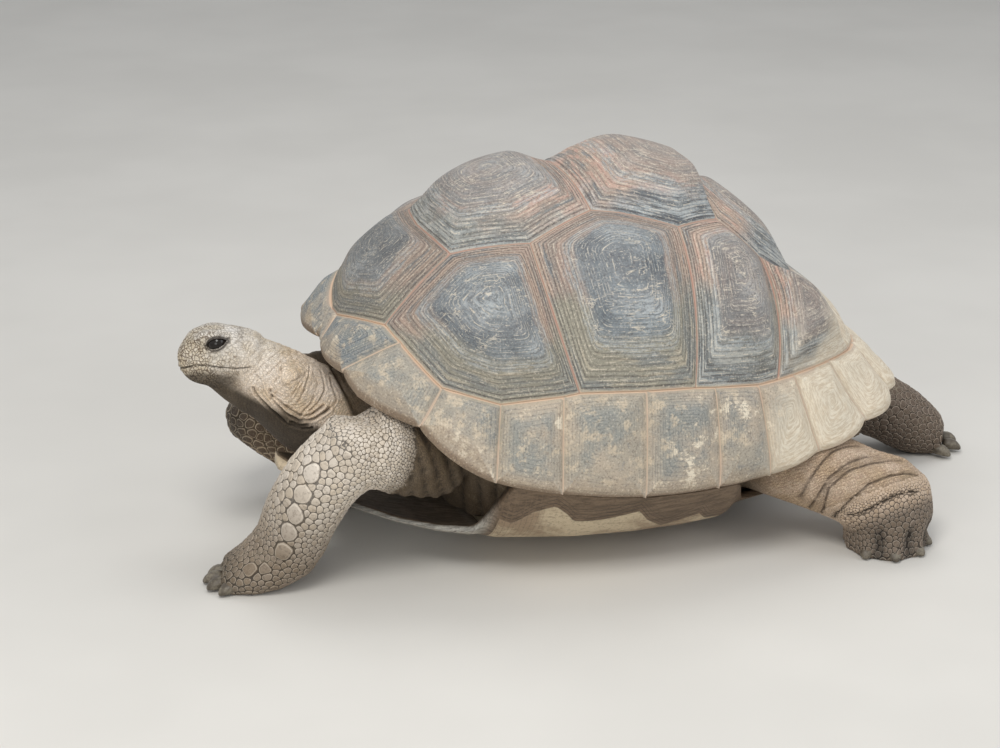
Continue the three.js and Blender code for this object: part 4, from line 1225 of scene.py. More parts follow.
# Creases round the left thigh, from the shell's axis, and the slope that leads from thigh to sole.
THIGH_CREASES = [
    [(0.442, -0.305, 0.204), (0.373, -0.326, 0.202), (0.339, -0.336, 0.174), (0.320, -0.334, 0.140),
     (0.314, -0.318, 0.108)],
    [(0.470, -0.335, 0.196), (0.401, -0.348, 0.186), (0.356, -0.350, 0.158), (0.337, -0.335, 0.108),
     (0.336, -0.312, 0.080)],
    [(0.515, -0.335, 0.176), (0.438, -0.357, 0.183), (0.392, -0.358, 0.171), (0.357, -0.354, 0.141),
     (0.354, -0.343, 0.097), (0.358, -0.318, 0.066)],
    [(0.545, -0.360, 0.150), (0.466, -0.378, 0.162), (0.424, -0.382, 0.151), (0.393, -0.375, 0.124),
     (0.374, -0.354, 0.087), (0.378, -0.330, 0.058)],
    [(0.530, -0.392, 0.134), (0.474, -0.398, 0.131), (0.439, -0.397, 0.117), (0.410, -0.385, 0.097),
     (0.392, -0.369, 0.087)]]
TO_SOLE = np.array([0.198, -0.542, -0.816])
print(len(NECK_ARCS + JOWLS + SLANTS) + 1, "lines on the neck,", len(THIGH_CREASES), "on the thigh")

# %% [markdown]
# Toes and claws share one fan per foot: its middle, its bearing, the angle it spans, how far out the
# claws stand ahead and aside, and how many there are. Grooves between the claws leave the toes.

# %% Toes
CLAW_FANS = {  # x, y, z of the middle, bearing, fan in degrees, reach ahead, reach aside, count
    "foot_left": (-0.690, -0.158, 0.013, 168, 112, 0.062, 0.054, 5),
    "foot_right": (-0.455, 0.188, 0.013, 178, 120, 0.062, 0.060, 5),
    "hind_left": (0.488, -0.330, 0.012, -80, 130, 0.064, 0.066, 4),
    "hind_right": (0.760, 0.086, 0.015, -14, 118, 0.062, 0.056, 4),
}
TOE_TOP = {"foot_left": 0.040, "foot_right": 0.045, "hind_left": 0.080, "hind_right": 0.050}
TOE_GROOVE, SHIN_HOLLOW = 0.011, 0.012


def toe_grooves(spots):
    """Grooves between the toes, which spread like the claws."""
    depth = np.zeros(len(spots))
    for foot, (x, y, z, bearing, fan, _, _, count) in CLAW_FANS.items():
        from_middle = spots - (x, y, z)
        angle = np.arctan2(from_middle[:, 1], from_middle[:, 0]) - math.radians(bearing)
        angle = np.degrees((angle + math.pi) % (2 * math.pi) - math.pi)
        toe = (angle / fan + 0.5) * (count - 1)
        between_toes = 1 - np.abs(np.cos(math.pi * toe)) ** 0.45
        near = ease((0.13 - np.hypot(from_middle[:, 0], from_middle[:, 1])) / 0.02)
        low = ease((TOE_TOP[foot] - spots[:, 2]) / 0.035)
        depth += between_toes * near * low * ease((fan / 2 + 4 - np.abs(angle)) / 8)
    return depth


print("toes on", len(CLAW_FANS), "feet")

# %% [markdown]
# Before it is folded, the skin gets a finer mesh by the creases of the thigh, and every point is
# measured: from the shell's axis, along each limb, and in two noises that keep the folds from lying
# too straight.

# %% Measure the skin
FINE_BY_CREASE = 0.008
spots, facing = coordinates(skin.data) - HOME, point_normals(skin.data)
by_crease = np.min([gap_in_skin(spots, facing, line) for line in THIGH_CREASES], axis=0)
split_faces(skin.data, by_crease < FINE_BY_CREASE)
points, outward = coordinates(skin.data), point_normals(skin.data)
measured = points - HOME
x, y, z = measured.T
table, share = nearest_limbs(measured)
along = {name: table[name][0] for name in LIMBS}
turn = {name: table[name][1] for name in LIMBS}
wander, ripple = noise_at(points, 9, 1.0), noise_at(points, 38, 2.0)
print("skin has", len(points), "points with the creases")

# %% [markdown]
# The neck is folded first. Rings run round the ear, a net of short folds crosses the cheek, and deep
# pleats lie where the neck leaves the shell. Soft shares of neck, throat and root switch them.

# %% Fold the neck
NECK_FROM, THROAT_BELOW, ROOT_AT = 0.105, 0.046, -0.500  # back from the nose, under it, from the axis
ARC_CREASE, SLANT_CREASE = (0.0030, 0.0018, 0.0012), (0.0020, 0.0014, 0.0007)  # depth, width, lip
JOWL_CREASE, FLAP_CREASE = (0.0046, 0.0024, 0.0030), (0.0030, 0.0020, 0.0)
DRUM_RISE, DRUM_RADIUS = 0.0026, 0.021
EAR_RINGS, PLEATS, PLEATS_SUNK = (0.0022, 0.0150), (0.0040, 0.0125), 0.0075  # depth, spacing
NET_DEPTH, NET = 0.0016, [(0.77, 0.64, 0.0082), (0.60, -0.80, 0.0094)]  # back, up, spacing
local = to_head(points)
sided = local * side_signs(local)
from_ear = np.linalg.norm(sided - np.array(EAR), axis=1)
neck_share = ease((share["neck"] + share["head"] * ease((local[:, 0] - NECK_FROM) / 0.03)) / 0.7)
throat = ease((-local[:, 2] - THROAT_BELOW - 0.45 * np.maximum(local[:, 0] - 0.11, 0)) / 0.02)
root = neck_share * ease((x - ROOT_AT + 0.35 * (z - 0.33)) / 0.012)
cheek = neck_share * (1 - throat) * (1 - root)
bent = sided + (0.0030 * wander + 0.0012 * ripple)[:, None]
facing = (outward @ HEAD_TURN) * side_signs(local)
arcs = creased(bent, facing, NECK_ARCS, *ARC_CREASE)
slants = creased(bent, facing, SLANTS, *SLANT_CREASE)
jowls = creased(bent, facing, JOWLS, *JOWL_CREASE)
ear_flap = creased(bent, facing, [EAR_FLAP], *FLAP_CREASE)
ear_flap = ear_flap + DRUM_RISE * ease((DRUM_RADIUS - from_ear) / 0.010)
net = sum(rolls(sided[:, 0] * rear + sided[:, 2] * up + 0.006 * wander, NET_DEPTH, spacing, 0.4)
          for rear, up, spacing in NET)
net *= ease((from_ear - 0.016) / 0.008) * (0.45 + 0.55 * ease((0.245 - local[:, 0]) / 0.03))
ear_rings = rolls(from_ear + 0.014 * wander + 0.003 * ripple, *EAR_RINGS, 0.40)
ear_rings *= ease((from_ear - 0.034) / 0.016) * ease((0.115 - from_ear) / 0.03)
collar = x + 0.35 * z
pleats = (rolls(collar + 0.006 * wander, *PLEATS) - PLEATS_SUNK) * root
move = cheek * (arcs + slants + ear_flap + net + ear_rings) + jowls * neck_share * (1 - root) + pleats
print("deepest fold of the neck", round(float(-move.min() * 1000), 1), "mm")

# %% [markdown]
# The trunk and the legs follow. The armpits, the elbows, the far thigh and the rump get soft rolls, the
# near thigh its drawn creases, the toes their grooves, and the front of the shin a shallow hollow. A
# value called run, which climbs across the folds, is kept for the wrinkle lines of the material.

# %% Fold the trunk and the legs
ARMPIT_ROLLS, ELBOW_ROLLS, RUMP_ROLLS = (0.0080, 0.026), (0.0040, 0.022), (0.0040, 0.024)
SOLE_ROLLS, FAR_THIGH_ROLLS = (0.0009, 0.0078), (0.0050, 0.034)  # depth, spacing
THIGH_CREASE, THIGH_VALLEY = (0.0038, 0.0016, 0.0008), (0.0026, 0.0085, 0.0)  # depth, width, lip
FAR_OFF = 9
down_arm = np.minimum(along["foreleg_left"] + FAR_OFF * (y > 0), along["foreleg_right"] + FAR_OFF * (y < 0))
side_skin = ease((share["trunk"] + share["foreleg_left"] + share["foreleg_right"]) / 0.6)
side_skin *= ease((0.125 - down_arm) / 0.03)
creases = rolls(x + 0.25 * z + 0.012 * wander, *ARMPIT_ROLLS)
move += creases * side_skin * ease((-0.20 - x) / 0.05)

to_sole = measured @ TO_SOLE
thigh = ease(share["hindleg_left"] / 0.6) * ease((along["hindleg_left"] - 0.02) / 0.04)
bent = measured + (0.0030 * wander + 0.0006 * ripple)[:, None]
for kind in (THIGH_CREASE, THIGH_VALLEY):
    move += creased(bent, outward, THIGH_CREASES, *kind) * thigh
move += rolls(to_sole + 0.006 * wander, *SOLE_ROLLS, 0.5) * thigh * ease((0.200 - to_sole) / 0.01)
move -= TOE_GROOVE * toe_grooves(measured)
shin = bell(along["foreleg_left"] - 0.215, 0.045) * share["foreleg_left"] * np.clip(-outward[:, 0], 0, 1)
thigh *= ease((0.196 - to_sole) / 0.02)
far_thigh = ease(share["hindleg_right"] / 0.6) * ease((0.24 - along["hindleg_right"]) / 0.03)
move += rolls(along["hindleg_right"] + 0.008 * wander, *FAR_THIGH_ROLLS, 0.5) * far_thigh
rump = ease((share["trunk"] + share["tail"]) / 0.6) * ease((x - 0.25) / 0.08)
move += rolls(y + 0.010 * wander, *RUMP_ROLLS) * rump
for name in ("foreleg_left", "foreleg_right"):
    elbow = ease(share[name] / 0.6) * bell(along[name] - 0.155, 0.035)
    bend = along[name] + 0.012 * np.cos(turn[name]) + 0.006 * wander
    move += rolls(bend, *ELBOW_ROLLS, 0.45) * elbow

run = x + 0.25 * z
run += (from_ear - run) * neck_share * (1 - throat) + (local[:, 0] - run) * neck_share * throat
run += (collar - run) * root + (to_sole - run) * thigh
floor_room = ease((points[:, 2] - 0.004) / 0.02)
pushed = (move - SHIN_HOLLOW * shin) * floor_room
set_coordinates(skin.data, points + outward * pushed[:, None])
print("deepest fold of all", round(float(-move.min() * 1000), 1), "mm")

# %% [markdown]
# Dry reptile skin is never one colour. Each point gets a ground colour from its place on the animal,
# mixed by smooth shares: pale khaki on the head, sandy on the thigh, dark on the feet, and a painted
# shade under the throat and the lower head.

# %% Ground colours of the skin
def tone(*rgb):
    return np.array(colour(*rgb)[:3])


HEAD_TONE, CROWN_TONE, THROAT_SHADE = tone(233, 225, 212), tone(242, 238, 232), tone(78, 68, 56)
NECK_TONE, PLEAT_TONE, ARM_TONE = tone(246, 230, 212), tone(104, 90, 72), tone(226, 216, 203)
FOOT_TONE, THIGH_TONE, BACK_FOOT_TONE = tone(146, 132, 116), tone(208, 186, 164), tone(122, 108, 95)
FAR_ARM_TONE, FAR_LEG_TONE, TAIL_TONE = tone(168, 148, 122), tone(128, 112, 98), tone(128, 112, 94)
CHIN_SHADE, SOCKET_SHADE, LID_TONE = tone(96, 84, 68), tone(62, 54, 50), tone(214, 206, 196)
MOUTH_TONE = tone(50, 42, 36)
STATION_TONES = {  # where along the limb a tone sets in, and over what length
    "foreleg_left": [(ARM_TONE, 0.11, 0.05), (FOOT_TONE, 0.26, 0.18)],
    "foreleg_right": [(FAR_ARM_TONE, 0.15, 0.05), (FOOT_TONE, 0.45, 0.06)],
    "hindleg_left": [(THIGH_TONE, 0.02, 0.06)],
    "hindleg_right": [(FAR_LEG_TONE, 0.15, 0.10)]}


def spread(first, second, amount):
    return first + (second - first) * np.clip(amount, 0, 1)[:, None]


points = coordinates(skin.data)
local = to_head(points)
ones = np.ones((len(points), 1))
height = local[:, 2]
grounds = {name: PLEAT_TONE * ones for name in share}
grounds["tail"] = TAIL_TONE * ones
# Painted shade: the underside of the neck, and lower down the head, turns dark.
grounds["neck"] = spread(NECK_TONE * ones, THROAT_SHADE, throat)
grounds["head"] = spread(HEAD_TONE * ones, CROWN_TONE, (height - 0.005) / 0.04)
grounds["head"] = spread(grounds["head"], THROAT_SHADE, (-height - 0.036) / 0.02)
for name, changes in STATION_TONES.items():
    for shade, start, over in changes:
        grounds[name] = spread(grounds[name], shade, (along[name] - start) / over)
grounds["hindleg_left"] = spread(grounds["hindleg_left"], BACK_FOOT_TONE, (to_sole - 0.208) / 0.03)
ground = sum(grounds[name] * share[name][:, None] for name in grounds)
print("mean ground colour", ground.mean(axis=0).round(3))

# %% [markdown]
# Small marks go over the ground: a dark line of the mouth, painted shade under the jaw and in the eye
# sockets, pale lower lids, painted shade in the creases and a painted highlight on the ridges. Under the
# horn scales the skin is darkest, and the pleats at the neck's root are lightened as painted light.

# %% Marks on the skin
CREASE_SHADE, RIDGE_HIGHLIGHT = 0.58, 1.18
# Painted shade under the lower jaw, below the mouth line.
chin_shade = ease((-from_mouth(local) - 0.006) / 0.016) * ease((0.135 - local[:, 0]) / 0.05)
ground = spread(ground, CHIN_SHADE, 0.88 * chin_shade)
lips = bell(from_mouth(local) + 0.0004, 0.0012 + 0.0016 * ease((0.04 - local[:, 0]) / 0.04))
ground = spread(ground, MOUTH_TONE, 0.9 * lips * ease((0.150 - local[:, 0]) / 0.03) * (share["head"] > 0.3))
back_of_eye, above_eye, gaze_out = eye_frame(local)
lid_gap = from_almond(back_of_eye, above_eye)
at_eye = (gaze_out > -0.012) * (np.hypot(back_of_eye, above_eye) < 0.04)
# Painted shade in the socket round the eye opening.
ground = spread(ground, SOCKET_SHADE, 0.92 * at_eye * ease((0.0072 - lid_gap) / 0.004))
ground = spread(ground, LID_TONE, at_eye * (above_eye < 0) * bell(lid_gap - 0.0012, 0.0008))
# Painted shade in the creases by the depth of the fold, and a painted highlight on the raised ridges.
deep = np.clip(-(move + 0.0009) / 0.0030, 0, 1)
ground *= 1 - CREASE_SHADE * deep[:, None]
ground = spread(ground, ground * RIDGE_HIGHLIGHT, np.clip((move - 0.0006) / 0.0022, 0, 1))
# Painted light: the pleats at the neck's root, shaded by the shell, are lightened to twice the pleat tone.
ground = spread(ground, PLEAT_TONE * 2.0, 0.75 * root)

SCALES_FROM = {"foreleg_left": 0.10, "foreleg_right": 0.16, "hindleg_left": 0.186, "hindleg_right": 0.14}
UNDER_SCALES_DARKER = 0.66
reach = {**along, "hindleg_left": to_sole}
covered = sum(ease((share[k] - 0.52) / 0.1) * ease((reach[k] - start - 0.002) / 0.006)
              for k, start in SCALES_FROM.items())
covered = np.clip(covered, 0, 1)
store_colour(skin.data, "ground", ground * (1 - UNDER_SCALES_DARKER * covered)[:, None])
store_value(skin.data, "run", run)
store_value(skin.data, "on_head", share["head"] * ease((0.150 - local[:, 0]) / 0.04))
store_value(skin.data, "wrinkled", (1 - covered) * (0.35 + 0.65 * np.clip(neck_share + thigh, 0, 1)))
print("scales cover", round(float(covered.mean() * 100)), "% of the skin's points")

# %% [markdown]
# The skin's material takes that ground colour and adds what is too fine for the mesh: small plates on
# the head, a net of tiny scales, wrinkle lines across the folds, blotches and dust.

# %% Skin material
SKIN_WASH, SKIN_DUST, SKIN_SHADE = colour(238, 230, 214), colour(210, 196, 172), colour(120, 104, 88)
SKIN_DARK, SKIN_MOTTLE = colour(104, 86, 70), colour(128, 122, 110)


def skin_tree(tree, shader):
    spot = place(tree)
    ground_colour = attribute(tree, "ground", "Color")
    run, wrinkled = attribute(tree, "run"), attribute(tree, "wrinkled")
    blotch, fine = grain(tree, spot, 16, 5.0, 0.6), grain(tree, spot, 240, 4.0, 0.6)
    bend = grain(tree, spot, 45, 3.0, 0.5)
    jitter = add(tree, "ShaderNodeTexNoise", {"Vector": spot, "Scale": 60.0}).outputs["Color"]
    bent = add(tree, "ShaderNodeMixRGB", {0: 0.012, 1: spot, 2: jitter}).outputs[0]
    cells = add(tree, "ShaderNodeTexVoronoi", {"Vector": bent, "Scale": 260.0}, feature="DISTANCE_TO_EDGE")
    each = add(tree, "ShaderNodeTexVoronoi", {"Vector": bent, "Scale": 260.0}).outputs["Color"]
    each = add(tree, "ShaderNodeRGBToBW", {0: each}).outputs[0]
    plates = add(tree, "ShaderNodeTexVoronoi", {"Vector": bent, "Scale": 150.0}, feature="DISTANCE_TO_EDGE")
    on_head = attribute(tree, "on_head")
    edge = between(tree, cells.outputs["Distance"], 0.16, 0.03)
    seam = times(tree, between(tree, plates.outputs["Distance"], 0.13, 0.03), on_head)
    wave = plus(tree, run, swing(tree, bend, 0.016))
    line = between(tree, sums(tree, "PINGPONG", wave, 0.0027), 0.0010, 0.0002)
    line = times(tree, line, wrinkled, between(tree, blotch, 0.34, 0.56))
    shade = mix(tree, between(tree, blotch, 0.35, 0.68), ground_colour, SKIN_WASH, "MULTIPLY")
    shade = mix(tree, 0.16, shade, each, "OVERLAY")
    shade = mix(tree, times(tree, between(tree, blotch, 0.55, 0.75), 0.25), shade, SKIN_DUST)
    shaded = mix(tree, 1.0, shade, SKIN_SHADE, "MULTIPLY")
    shade = mix(tree, times(tree, between(tree, fine, 0.50, 0.34), 0.20), shade, shaded)
    dark = mix(tree, 1.0, shade, SKIN_DARK, "MULTIPLY")
    shade = mix(tree, times(tree, edge, 0.36, minus(tree, 1.0, times(tree, on_head, 0.6))), shade, dark)
    shade = mix(tree, times(tree, seam, between(tree, blotch, 0.28, 0.56), 0.90), shade, dark)
    mottle = times(tree, on_head, between(tree, grain(tree, spot, 75, 4.0, 0.6), 0.52, 0.66))
    shade = mix(tree, times(tree, mottle, 0.30), shade, SKIN_MOTTLE)
    shade = mix(tree, times(tree, line, 0.28), shade, dark)
    tree.links.new(shade, shader.inputs["Base Color"])
    cut = plus(tree, plus(tree, edge, seam), times(tree, line, 0.9))
    height = minus(tree, times(tree, fine, 0.35), cut)
    bump(tree, shader, height, 0.7, 0.0012)


skin.data.materials.append(finish_material("dry_skin", skin_tree, 0.82))
skin.data.shade_smooth()
for name in FLESH:
    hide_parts(name)
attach(skin, "root")
print("the skin takes the place of", len(FLESH), "solids")

# %% [markdown]
# The eye is a wet dark ball in a socket of lids. A smooth sphere, its clear coat and one lamp's
# reflection are enough, as long as it sits behind the lids.

# %% Eyes
def eye_tree(tree, shader):
    shader.inputs["Base Color"].default_value = colour(26, 20, 17)
    shader.inputs["IOR"].default_value = 1.25
    shader.inputs["Coat Weight"].default_value = 0.25
    shader.inputs["Coat Roughness"].default_value = 0.04


wet_eye = finish_material("wet_eye", eye_tree, 0.14)


def make_eye(side, sign):
    body = bmesh.new()
    bmesh.ops.create_uvsphere(body, u_segments=48, v_segments=32, radius=EYE_RADIUS)
    mesh = bpy.data.meshes.new(f"eyeball_{side}")
    body.to_mesh(mesh)
    body.free()
    middle = np.array([EYE_BACK, sign * EYE_OUT, EYE_UP])
    set_coordinates(mesh, from_head(coordinates(mesh) + middle))
    mesh.shade_smooth()
    eye = into_scene(f"eyeball_{side}", mesh)
    mesh.materials.append(wet_eye)
    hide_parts(f"eye_{side}")
    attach(eye, "root")
    return eye


eyes = [make_eye("left", -1), make_eye("right", 1)]
print("eyes", [e.name for e in eyes])

# %% [markdown]
# Limb scales are plates of horn, large on the outer edge of the foreleg and small at the elbow. Seeds
# are scattered over the skin, each keeping its own radius clear. A seed's cell is the ground nearer to
# it than to its neighbours, cut out in the plane of the skin, so the scales tile without a pattern.

# %% Scatter seeds and cut their cells
CELL_REACH, CELL_SIDES = 1.75, 12  # spread of a lone scale past its radius; its sides
CLOSEST, CORNER_CUT = 0.82, 0.17  # of both radii added; of each side of the outline


def surface_samples(mesh, wanted, count, pick):
    """Random points on the triangles whose first corner is wanted, and their normals."""
    mesh.calc_loop_triangles()
    flat = np.empty(len(mesh.loop_triangles) * 3, dtype=np.int32)
    mesh.loop_triangles.foreach_get("vertices", flat)
    tri = flat.reshape(-1, 3)
    tri = tri[wanted[tri[:, 0]]]
    points, normals = coordinates(mesh), point_normals(mesh)
    a, b, c = points[tri[:, 0]], points[tri[:, 1]], points[tri[:, 2]]
    area = np.linalg.norm(np.cross(b - a, c - a), axis=1)
    chosen = pick.choice(len(tri), count, p=area / area.sum())
    u, v = pick.random(count), pick.random(count)
    u, v = np.where(u + v > 1, 1 - u, u)[:, None], np.where(u + v > 1, 1 - v, v)[:, None]
    w = 1 - u - v
    i, j, k = tri[chosen].T
    mixed = [v3[i] * w + v3[j] * u + v3[k] * v for v3 in (points, normals)]
    return mixed[0], unit(mixed[1])


def scatter(points, radius, spare=0):
    """Indices of points that keep clear of each other; the first `spare` are always kept."""
    size = 2 * radius.max()
    grid, kept = {}, []
    homes = np.floor(points / size).astype(int)
    around = [(i, j, k) for i in (-1, 0, 1) for j in (-1, 0, 1) for k in (-1, 0, 1)]
    for n, (x, y, z) in enumerate(homes.tolist()):
        near = [m for i, j, k in around for m in grid.get((x + i, y + j, z + k), ())]
        if near and n >= spare:
            gap = np.linalg.norm(points[near] - points[n], axis=1)
            if (gap < CLOSEST * (radius[near] + radius[n])).any():
                continue
        grid.setdefault((x, y, z), []).append(n)
        kept.append(n)
    return np.array(kept)


def cut_by(outline, direction, reach):
    """The part of a flat outline on the near side of a line."""
    result = []
    for p, q in zip(outline, outline[1:] + outline[:1]):
        a = p[0] * direction[0] + p[1] * direction[1] - reach
        b = q[0] * direction[0] + q[1] * direction[1] - reach
        if a <= 0:
            result.append(p)
        if a * b < 0:
            t = a / (a - b)
            result.append((p[0] + (q[0] - p[0]) * t, p[1] + (q[1] - p[1]) * t))
    return result


def rounded(outline, count):
    """Corners cut off, then `count` points evenly spaced along the outline."""
    line = np.array(outline)
    after = np.roll(line, -1, axis=0)
    line = np.stack([line + (after - line) * CORNER_CUT, after + (line - after) * CORNER_CUT], 1)
    line = line.reshape(-1, 2)
    step = np.linalg.norm(np.roll(line, -1, axis=0) - line, axis=1)
    run = np.concatenate([[0], np.cumsum(step)])
    line = np.concatenate([line, line[:1]])
    at = np.arange(count) * run[-1] / count
    return np.stack([np.interp(at, run, line[:, 0]), np.interp(at, run, line[:, 1])], 1)


def point_finder(points):
    finder = KDTree(len(points))
    for n, p in enumerate(points):
        finder.insert(Vector(p), n)
    finder.balance()
    return finder


def cells(points, normals, radius, gap):
    """For each seed an outline in its own tangent plane, with the two axes of that plane."""
    finder = point_finder(points)
    first = unit(np.cross(normals, np.array([0.21, 0.13, 0.97])))
    second = np.cross(normals, first)
    angles = [2 * math.pi * k / CELL_SIDES for k in range(CELL_SIDES)]
    start = [(math.cos(angle), math.sin(angle)) for angle in angles]
    outlines = []
    for n, p in enumerate(points):
        r = radius[n]
        outline = [(CELL_REACH * r * x, CELL_REACH * r * y) for x, y in start]
        for other, m, far in finder.find_range(Vector(p), CELL_REACH * (r + radius.max())):
            if m == n or far > CELL_REACH * (r + radius[m]) or (normals[m] @ normals[n]) < 0.1:
                continue
            offset = np.array(other) - p
            flat = (float(offset @ first[n]), float(offset @ second[n]))
            length = math.hypot(*flat) or 1.0
            reach = length * r / (r + radius[m]) - gap / 2
            outline = cut_by(outline, (flat[0] / length, flat[1] / length), reach)
            if len(outline) < 3:
                break
        outlines.append(outline)
    return outlines, first, second


print("scale tools ready")

# %% [markdown]
# One node tree raises all the scales. It extrudes each outline, draws in its shoulder, raises a lower
# crown, closes the underside and merges the whole. Its inputs are named, so that the height and the
# slopes of the scales are set in one line further down.

# %% Node tree that raises scales
def raising_tree():
    tree = bpy.data.node_groups.new("raise_scales", "GeometryNodeTree")
    for name, kind in (("Geometry", "Geometry"), ("Rise", "Float"), ("Shoulder", "Float"),
                       ("Crown Rise", "Float"), ("Crown", "Float"), ("Horn", "Material")):
        tree.interface.new_socket(name, in_out="INPUT", socket_type=f"NodeSocket{kind}")
    tree.interface.new_socket("Geometry", in_out="OUTPUT", socket_type="NodeSocketGeometry")
    given = tree.nodes.new("NodeGroupInput").outputs
    high = add(tree, "GeometryNodeInputNamedAttribute", {"Name": "size"}, data_type="FLOAT").outputs[0]

    def raised(mesh, chosen, rise, draw_in, mark):
        amount = times(tree, high, rise)
        keys = {"Mesh": mesh, "Offset Scale": amount, "Individual": True}
        if chosen is not None:
            keys["Selection"] = chosen
        out = add(tree, "GeometryNodeExtrudeMesh", keys, mode="FACES")
        drawn = add(tree, "GeometryNodeScaleElements",
                    {"Geometry": out.outputs["Mesh"], "Selection": out.outputs["Top"], "Scale": draw_in},
                    domain="FACE", scale_mode="UNIFORM")
        marked = add(tree, "GeometryNodeStoreNamedAttribute",
                     {"Geometry": drawn.outputs[0], "Selection": out.outputs["Top"], "Name": "crown",
                      "Value": mark}, data_type="FLOAT", domain="POINT")
        return marked.outputs[0], out.outputs["Top"]

    shoulder, top = raised(given["Geometry"], None, given["Rise"], given["Shoulder"], 0.5)
    crown, top = raised(shoulder, top, given["Crown Rise"], given["Crown"], 1.0)
    under = add(tree, "GeometryNodeFlipFaces", {"Mesh": given["Geometry"]}).outputs[0]
    joined = tree.nodes.new("GeometryNodeJoinGeometry")
    tree.links.new(crown, joined.inputs[0])
    tree.links.new(under, joined.inputs[0])
    merged = add(tree, "GeometryNodeMergeByDistance", {"Geometry": joined.outputs[0], "Distance": 1e-6})
    real = add(tree, "GeometryNodeRealizeInstances", {"Geometry": merged.outputs[0]})
    horn = add(tree, "GeometryNodeSetMaterial", {"Geometry": real.outputs[0], "Material": given["Horn"]})
    result = tree.nodes.new("NodeGroupOutput")
    tree.links.new(horn.outputs[0], result.inputs[0])
    return tree


RAISE = raising_tree()


def set_inputs(modifier, **values):
    keys = {s.name: s.identifier for s in modifier.node_group.interface.items_tree if s.in_out == "INPUT"}
    for name, value in values.items():
        modifier[keys[name.replace("_", " ")]] = value


print("node tree", RAISE.name, "has", len(RAISE.nodes), "nodes")

# %% [markdown]
# A scale's material reads how high a point stands on it: 0 at the foot, a half on the shoulder, 1 on
# the crown. That gives a dark groove round it, a pale rim and, on some scales, a dark heart.

# %% Scale material
SCALE_WASH, SCALE_DARK, SCALE_PALE = colour(226, 216, 198), colour(100, 84, 72), colour(236, 228, 212)


def scale_surface(tree, shader):
    spot = place(tree)
    ground_colour = attribute(tree, "ground", "Color")
    tone_value, crown, core = (attribute(tree, k) for k in ("tone", "crown", "core"))
    fine, grit = grain(tree, spot, 150, 5.0, 0.65), grain(tree, spot, 420, 3.0, 0.6)
    step = plus(tree, crown, swing(tree, fine, 0.5))
    shade = mix(tree, times(tree, tone_value, 0.55), ground_colour, SCALE_WASH, "MULTIPLY")
    dark = mix(tree, 1.0, shade, SCALE_DARK, "MULTIPLY")
    shade = mix(tree, times(tree, between(tree, step, 0.30, 0.02), 0.85), shade, dark)
    pale = mix(tree, 0.35, shade, SCALE_PALE)
    rim = times(tree, between(tree, step, 0.34, 0.55), between(tree, step, 0.84, 0.66))
    shade = mix(tree, times(tree, rim, 0.55), shade, pale)
    shade = mix(tree, times(tree, between(tree, step, 0.72, 0.90), core), shade, dark)
    shade = mix(tree, times(tree, between(tree, fine, 0.52, 0.36), 0.35), shade, dark)
    shade = mix(tree, times(tree, between(tree, grit, 0.55, 0.68), 0.25), shade, pale)
    tree.links.new(shade, shader.inputs["Base Color"])
    bump(tree, shader, plus(tree, fine, times(tree, grit, 0.5)), 0.5, 0.0008)


scale_horn = finish_material("scale_horn", scale_surface, 0.72)
print(scale_horn.name, "has", len(scale_horn.node_tree.nodes), "nodes")

# %% [markdown]
# A flat outline of each scale is laid on the skin and sunk a little into it. The outlines of a limb are
# one mesh, which the node tree then raises, and each scale keeps its place on the bake's unwrap.

# %% Make a piece of scales
SINK, DEEPEST_SUNK, SCALE_GAP = 0.12, 0.007, 0.0004  # sunk by a share of the radius, up to a limit
SMALLEST, LEAST_HIGH, LOWEST_SCALE = 0.4, 0.0032, 0.0015  # share of a radius kept, height, floor
RISE, SHOULDER, CROWN_RISE, CROWN = 0.17, 0.91, 0.07, 0.76
UV_SIZE = 0.0015
skin_surface = BVHTree.FromObject(skin, bpy.context.evaluated_depsgraph_get())
skin_points = point_finder(coordinates(skin.data))


def laid_on_skin(ring, normal, radius):
    """An outline laid on the skin, a little sunk, and clear of the floor."""
    sink = SINK * min(radius, DEEPEST_SUNK)
    laid = []
    for p in ring:
        hit, hit_normal, _, _ = skin_surface.find_nearest(Vector(p), 0.02)
        low = np.array(hit) - np.array(hit_normal) * sink if hit else p - normal * sink
        low[2] = max(low[2], LOWEST_SCALE)
        laid.append(low)
    return laid


def flat_scales(name, points, normals, radius, core, uv_at):
    """The flat outlines as one mesh, with the values that the node tree and the material read."""
    outlines, first, second = cells(points, normals, radius, SCALE_GAP)
    verts, faces, size, tones, flat_uv = [], [], [], [], []
    pick = np.random.default_rng(len(points))
    for n, outline in enumerate(outlines):
        if len(outline) < 3:
            continue
        count = 8 if radius[n] < 0.0045 else 10 if radius[n] < 0.009 else 16
        line = rounded(outline, count)
        extent = np.abs(line).max()
        if extent < SMALLEST * radius[n]:
            continue
        ring = points[n] + line[:, :1] * first[n] + line[:, 1:] * second[n]
        faces.append(list(range(len(verts), len(verts) + count)))
        verts += laid_on_skin(ring, normals[n], radius[n])
        size += [max(extent, LEAST_HIGH) * pick.uniform(0.75, 1.25)] * count
        tones += [pick.random()] * count
        flat_uv += (uv_at[n] + line / extent * UV_SIZE).tolist()
    mesh = bpy.data.meshes.new(name)
    mesh.from_pydata([tuple(v) for v in verts], [], faces)
    patch_u, patch_v = zip(*flat_uv)
    values = {"size": size, "tone": tones, "crown": [0.0] * len(verts), "core": [core] * len(verts),
              "patch_u": patch_u, "patch_v": patch_v}
    for key, value in values.items():
        store_value(mesh, key, value)
    owner = [skin_points.find(Vector(v))[1] for v in verts]
    store_colour(mesh, "ground", ground[owner])
    return mesh, len(faces)


